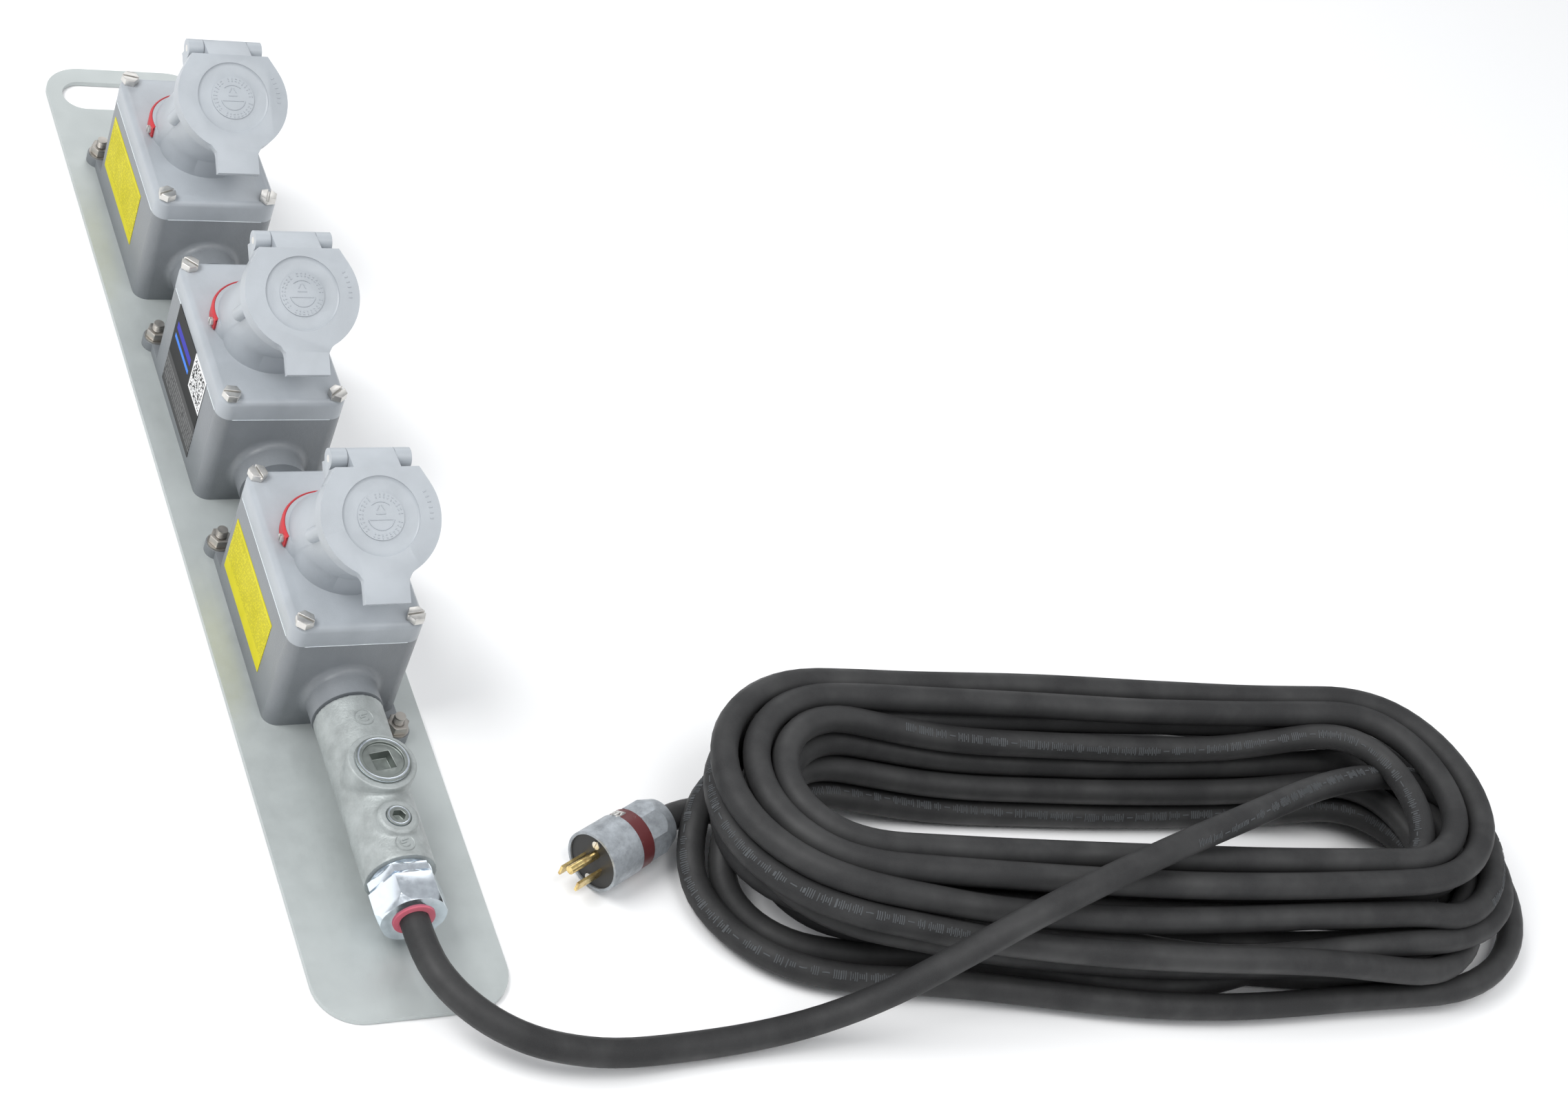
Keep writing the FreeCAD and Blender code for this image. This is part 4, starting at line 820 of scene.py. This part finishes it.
def make_lid_fillets(station):
    """The cove round a lid's dish, and the curves where its pull tab leaves its rim."""
    form = bmesh.new()
    face = lid_frame(station)
    dish, deep, cove, sunk = 21.05 * MM, 1.2 * MM, 2.6 * MM, 0.2 * MM
    profile = [(dish, 0.0)]
    for step in range(1, 7):
        angle = math.pi / 2 * step / 6
        profile.append((dish - cove * (1 - math.cos(angle)), -deep * math.sin(angle)))
    profile += [(dish - cove, -deep - sunk), (dish + sunk, -deep - sunk), (dish + sunk, -0.3 * MM)]
    turn_profile(form, profile, face, segments=72)

    tab, radius = 12.2 * MM, 8 * MM
    centre_x = tab + radius
    centre_y = -math.sqrt((LID_RADIUS + radius) ** 2 - centre_x ** 2)
    first = math.atan2(-centre_y, -centre_x)
    for side in (-1, 1):
        outline = [(tab - 1 * MM, centre_y), (tab - 1 * MM, centre_y + 8 * MM)]
        for step in range(9):
            angle = first + (math.pi - first) * step / 8
            outline.append((centre_x + radius * math.cos(angle), centre_y + radius * math.sin(angle)))
        levels = []
        for height in (-4.4 * MM, -0.12 * MM):
            levels.append([form.verts.new(face @ Vector((side * x, y, height))) for x, y in outline])
        join_rows(form, levels)
        form.faces.new(levels[1])
        form.faces.new(levels[0][::-1])
    keep_form("lid_fillets_%d" % station, form, "cover", "lid_%d_assembly" % station)


def walk(cord):
    """Points on the cord's own line, a few millimetres apart."""
    bare = linked("bare", cord.data.copy())
    bare.data.bevel_depth = 0
    bpy.context.view_layer.update()
    mesh = evaluated_mesh(bare)
    return [vertex.co.copy() for vertex in mesh.vertices]


def wrap_patch(form, line, reach, start, length, half_angle, facing):
    """One printed block on the cord, from a distance along it, as a film hardly proud of the jacket."""
    film, sunk, lean = 0.08, -0.1, 0.8
    rows = []
    for share in (0, 0.5, 1):
        place = start + share * length
        index = max(number for number, distance in enumerate(reach[:-1]) if distance <= place)
        step = (line[index + 1] - line[index]).normalized()
        middle = line[index] + step * (place - reach[index])
        out = (COIL_CENTRE - middle) * Vector((1, 1, 0)) * facing
        out = out.normalized() + Vector((0, 0, lean))
        out = (out - step * out.dot(step)).normalized()
        beside = step.cross(out)
        row = []
        for turn, away in ((-1, sunk), (-1, film), (0, film), (1, film), (1, sunk)):
            angle = math.radians(turn * half_angle)
            radius = CORD_RADIUS + away * MM
            around = math.cos(angle) * out + math.sin(angle) * beside
            row.append(form.verts.new(middle + radius * around))
        rows.append(row)
    join_rows(form, rows)
    form.faces.new(rows[0])
    form.faces.new(rows[-1][::-1])


# shares of the cord's length that carry print, and whether it faces the coil's hole or away from it
PRINTED = [(0.035, 0.058, -1), (0.25, 0.30, 1), (0.50, 0.58, 1), (0.66, 0.69, -1), (0.83, 0.86, -1)]
STROKE, STROKE_PITCH, WORD_GAP = 0.6 * MM, 1.25 * MM, 1.6 * MM
LINE_LENGTH, LINE_PITCH, LINE_SHARE = 4 * MM, 6 * MM, 0.4
LINE_ANGLE = 2.5                 # half the width of a dash, in degrees round the cord


def make_cord_print(cord):
    """Generic blocks and dashes printed along parts of the cord."""
    line = walk(cord)
    reach = [0.0]
    for start, end in zip(line, line[1:]):
        reach.append(reach[-1] + (end - start).length)
    chance = random.Random(5)
    form = bmesh.new()
    whole = reach[-1]
    for first, last, facing in PRINTED:
        at = first * whole
        while at < last * whole:
            for _ in range(chance.choice((4, 6, 8, 12))):
                wrap_patch(form, line, reach, at, STROKE, chance.choice((10, 18)), facing)
                at += STROKE_PITCH
            at += WORD_GAP
            if chance.random() < LINE_SHARE:
                wrap_patch(form, line, reach, at, LINE_LENGTH, LINE_ANGLE, facing)
                at += LINE_PITCH
    return keep_form("cord_print", form, "print")


# ---------------------------------------------------------------- cord

CORD_RADIUS = 7.7 * MM
# the route's points, in millimetres: out of the gland, round to the right and over the coil
LEAD_ROUTE = [
    (0, -331.8, 28), (0, -353, 28), (6.6, -373.5, 27.6), (19.5, -391, 26), (37, -403.5, 23),
    (58, -410.5, 18.8), (88, -414, 13), (127, -412.5, 8.8), (170, -411.5, 9), (208, -411.5, 18),
    (243, -411.5, 37), (281, -406, 58), (322, -397, 74), (370, -385, 84), (422, -371, 88),
    (478, -355, 87), (540, -332, 75), (595, -314, 58), (633, -312, 52),
]
# under the top turns at the coil's far right, and round its right end to the near side
ENTRY_ROUTE = [
    (656, -325, 51), (671, -352, 50), (667, -377, 49), (647, -403, 49), (618, -415, 49.5),
]
# from the near side, across the coil's hole and under its left end
EXIT_ROUTE = [
    (413.9, -393.5, 7.8), (370, -379.9, 7.8), (333, -357.4, 7.8), (301.4, -332.1, 7.8),
    (270, -304.5, 7.8),
]
# and up to the back of the plug
TAIL_ROUTE = [
    (243.5, -281.4, 8), (222, -269.7, 8.5), (198, -264.8, 10.5), (173.3, -268.6, 15),
    (151.7, -279, 17.5),
]

COIL_CENTRE = Vector((437, -337, 0)) * MM
COIL_TURN = math.radians(-8)
COIL_TOP = 70.5 * MM             # no axis of a turn is higher
COIL_RIGHT = 702.3 * MM          # or further right
LEVEL = 15.4 * MM                # between two levels of turns
TURNS = 12.12
POINTS_PER_TURN = 32
FIRST_STEP = -0.5 / POINTS_PER_TURN
FAR_SKEW = 0.06                  # the far side widens towards the right end
BULGE = 0.3                      # how far a side bows out, as a share of its reach past FLAT_REACH
FLAT_REACH = 50 * MM
SIDE_HOLDS = (0.355, 0.395, 0.355, 0.395)    # shares of a turn for which each side keeps its reach
LEVEL_HOLD = 0.07                # and for which the cord keeps its level

# each turn's distance from the coil's centre, in millimetres, and its level: on the near side,
# at the left end, on the far side and at the right end. The lead passes between the lower
# turns and the top ones at the right end, and the tail under the left end
REACHES = [
    ((58, 2.75), (262, 3.9), (90, 3.74), (222, 4.05)),
    ((45, 3.74), (247, 3.95), (74, 3.74), (200, 4.05)),
    ((33, 3.74), (232, 3.9), (70, 2.8), (184, 4.05)),
    ((42, 2.8), (232, 2.95), (64, 1.87), (216, 2.2)),
    ((43, 1.87), (232, 2.0), (62, 0.93), (206, 1.6)),
    ((53, 1.87), (246, 2.9), (82, 2.8), (230, 1.8)),
    ((51, 0.93), (232, 1.1), (55, 0.0), (212, 0.6)),
    ((64, 0.93), (248, 1.95), (67, 0.93), (222, 1.0)),
    ((68, 1.87), (264, 2.95), (78, 1.87), (244, 1.8)),
    ((79.5, 0.93), (250, 1.6), (83, 0.93), (270, 0.1)),
    ((91, 0.0), (270, 0.0), (80, 0.0), (240, 0.0)),
    ((75.5, 0.0), (253, 0.1), (65, 0.0), (230, 0.0)),
    ((60, 0.0), (240, 0.5), (60, 0.0), (232, 0.0)),
]
MIDDLES = (0.145, 0.395, 0.645, 0.895)   # shares of a turn at the middles of its four sides
CORNERS = (0, 0.29, 0.5, 0.79, 1)        # and where each starts
# loose turns on the floor rise over the tail just past the left end: where, and to what level
CROSSINGS = [(10.443, 1.0), (11.443, 1.0)]
# how far, in millimetres, some turns cut across the near side's left and right corners
LEFT_CUTS = {7: 8, 9: 24, 10: 6, 11: 22, 12: 12}
RIGHT_CUTS = {8: 14, 10: 14}


def smooth(value, start, end):
    """From 0 at start to 1 at end, level at both."""
    share = min(max((value - start) / (end - start), 0), 1)
    return share * share * (3 - 2 * share)


def eased(stations, way, hold):
    """A value given at places along the coil: it holds near each place and eases to the next."""
    value = stations[0][1]
    for (place, old), (following, new) in zip(stations, stations[1:]):
        still = min(hold, 0.45 * (following - place))
        value += (new - old) * smooth(way, place + still, following - still)
    return value


def side_reach(side, way):
    """How far one of the four sides lies from the coil's centre, at a place along the coil."""
    stations = [(turn + MIDDLES[side], sides[side][0] * MM) for turn, sides in enumerate(REACHES)]
    return eased(stations, way, SIDE_HOLDS[side])


def coil_level(way):
    stations = [(turn + middle, level) for turn, sides in enumerate(REACHES)
                for middle, (_, level) in zip(MIDDLES, sides)]
    return eased(sorted(stations + CROSSINGS), way, LEVEL_HOLD)


def corner_cut(cuts, way, turn, start, end):
    """How far a turn cuts across a corner that it passes between two shares of itself."""
    share = min(max((way - turn - start) / (end - start), 0), 1)
    return cuts.get(turn, 0) * MM * math.sin(math.pi * share) ** 2


def coil_point(way):
    """A point of the coil in its own frame, turns clockwise from the near side's right end."""
    near, left, far, right = (side_reach(side, way) for side in range(4))
    middle, half = (far - near) / 2, (far + near) / 2
    left_centre, right_centre = half - left, right - half
    bulge = BULGE * max(half - FLAT_REACH, 0)
    share = way % 1
    side = sum(share >= corner for corner in CORNERS[1:])
    along = (share - CORNERS[side]) / (CORNERS[side + 1] - CORNERS[side])
    swell = bulge * math.sin(math.pi * along) ** 2
    if side == 0:
        x = right_centre + (left_centre - right_centre) * along
        y = middle - half + bulge - swell
    elif side == 1:
        x = left_centre + half * math.cos(math.pi * (1.5 - along))
        y = middle + (half - bulge) * math.sin(math.pi * (1.5 - along))
    elif side == 2:
        x = left_centre + (right_centre - left_centre) * along
        y = middle + half - bulge + swell
    else:
        x = right_centre + half * math.cos(math.pi * (0.5 - along))
        y = middle + (half - bulge) * math.sin(math.pi * (0.5 - along))
    y += FAR_SKEW * max(x, 0) * max(y - middle, 0) / half
    y += corner_cut(LEFT_CUTS, way, int(way), 0.08, 0.42)
    y += corner_cut(RIGHT_CUTS, way, int(way - 0.3), 0.82, 1.16)
    return Vector((x, y, CORD_RADIUS + coil_level(way) * LEVEL))


def coil_points():
    """Control points of the coil's turns, from the end of the lead to the start of the tail."""
    turned = Matrix.Rotation(COIL_TURN, 3, "Z")
    ways = [FIRST_STEP + number / POINTS_PER_TURN for number in range(round(TURNS * POINTS_PER_TURN))]
    return [turned @ coil_point(way) + COIL_CENTRE for way in ways]


SAMPLES = 3                      # of each span, where contacts are tested
NOT_NEIGHBOURS = 5 * SAMPLES     # samples closer along the cord than this may be close together
ROUNDS = 240                     # of pushing
PAIRS_LAST = 12                  # rounds before close pairs are looked for again
PAIR_REACH = 1.6                 # how near they are, in diameters
EASE = 0.22                      # how much of a push each round passes on along the cord
TINY = 1e-6


def span_weights(count):
    """Weights that turn a quadratic spline's control points into points on its line."""
    weights = np.zeros(((count - 2) * SAMPLES, count))
    for span in range(count - 2):
        for sample in range(SAMPLES):
            t = sample / SAMPLES
            row = span * SAMPLES + sample
            weights[row, span] = 0.5 * (1 - t) ** 2
            weights[row, span + 1] = 0.5 + t * (1 - t)
            weights[row, span + 2] = 0.5 * t ** 2
    return weights


def close_pairs(line, reach):
    """Pairs of samples nearer than the reach that aren't neighbours along the cord."""
    first, second = [], []
    for index in range(len(line) - NOT_NEIGHBOURS):
        gaps = np.linalg.norm(line[index + NOT_NEIGHBOURS:] - line[index], axis=1)
        found = np.nonzero(gaps < reach)[0] + index + NOT_NEIGHBOURS
        first.append(np.full(len(found), index))
        second.append(found)
    return np.concatenate(first), np.concatenate(second)


def settle(points, free):
    """Push turns that overlap apart, and spread each push smoothly along the cord."""
    rest = np.array([tuple(point) for point in points])
    weights = span_weights(len(rest))
    share = weights / weights.sum(axis=0).clip(TINY)
    moved = np.zeros_like(rest)
    wanted = 2 * CORD_RADIUS
    inner = free[1:-1, None]
    highest = np.where(free > 0, COIL_TOP, np.inf)
    furthest = np.where(free > 0, COIL_RIGHT, np.inf)
    for step in range(ROUNDS):
        line = weights @ (rest + moved)
        if step % PAIRS_LAST == 0:
            first, second = close_pairs(line, PAIR_REACH * wanted)
        apart = line[second] - line[first]
        gap = np.linalg.norm(apart, axis=1).clip(TINY)
        push = np.clip(wanted - gap, 0, None)[:, None] * apart / gap[:, None]
        shift = np.zeros_like(line)
        np.add.at(shift, second, push * 0.5)
        np.add.at(shift, first, -push * 0.5)
        moved += (share.T @ shift) * free[:, None]
        moved[1:-1] += inner * EASE * (moved[:-2] + moved[2:] - 2 * moved[1:-1])
        place = rest + moved
        place[:, 2] = np.clip(place[:, 2], CORD_RADIUS, highest)
        place[:, 0] = np.minimum(place[:, 0], furthest)
        moved = place - rest
    return [Vector(point) for point in rest + moved]


def cord_curve(points):
    """A NURBS tube; its size is the points' own radius, so that the curve's box is true too."""
    data = bpy.data.curves.new("feed_cord", "CURVE")
    data.dimensions = "3D"
    spline = data.splines.new("NURBS")
    spline.points.add(len(points) - 1)
    for knot, point in zip(spline.points, points):
        knot.co = (*point, 1)
        knot.radius = CORD_RADIUS
    spline.order_u = 3
    spline.use_endpoint_u = True
    spline.resolution_u = 4
    data.bevel_depth = 1.0
    data.bevel_resolution = 4
    data.use_fill_caps = True
    return linked("feed_cord", data)


def make_cord():
    lead = [Vector(point) * MM for point in LEAD_ROUTE + ENTRY_ROUTE]
    tail = [Vector(point) * MM for point in EXIT_ROUTE + TAIL_ROUTE]
    coil = coil_points()
    free = np.array([0.0] * len(lead) + [1.0] * len(coil) + [0.0] * len(tail))
    cord = cord_curve(settle(lead + coil + tail, free))
    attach(cord, "base")
    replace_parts(cord, "cord_lead", "cord_coil", "cord_tail")
    cord.data.materials.append(materials["cord"])
    printed = make_cord_print(cord)
    on_cord = ["plug_sleeve", "plug_face", "plug_band", "plug_rear", "plug_blades", "plug_screws"]
    [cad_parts[name] for name in on_cord] + [printed, make_plug_ear()]


add_camera()
add_floor()
add_studio()
materials = make_materials()
make_cord()
finish_nodes()
for station in STATIONS:
    make_lid_marks(station)
    make_lid_fillets(station)
make_stud_threads()
make_hub_fillets()
make_band_beads()
make_joint_highlight_lines()
make_seal_casting()
make_boss_rings()
make_plug_rims()
make_seal_marks()
make_thread_rings()
make_soft_castings()
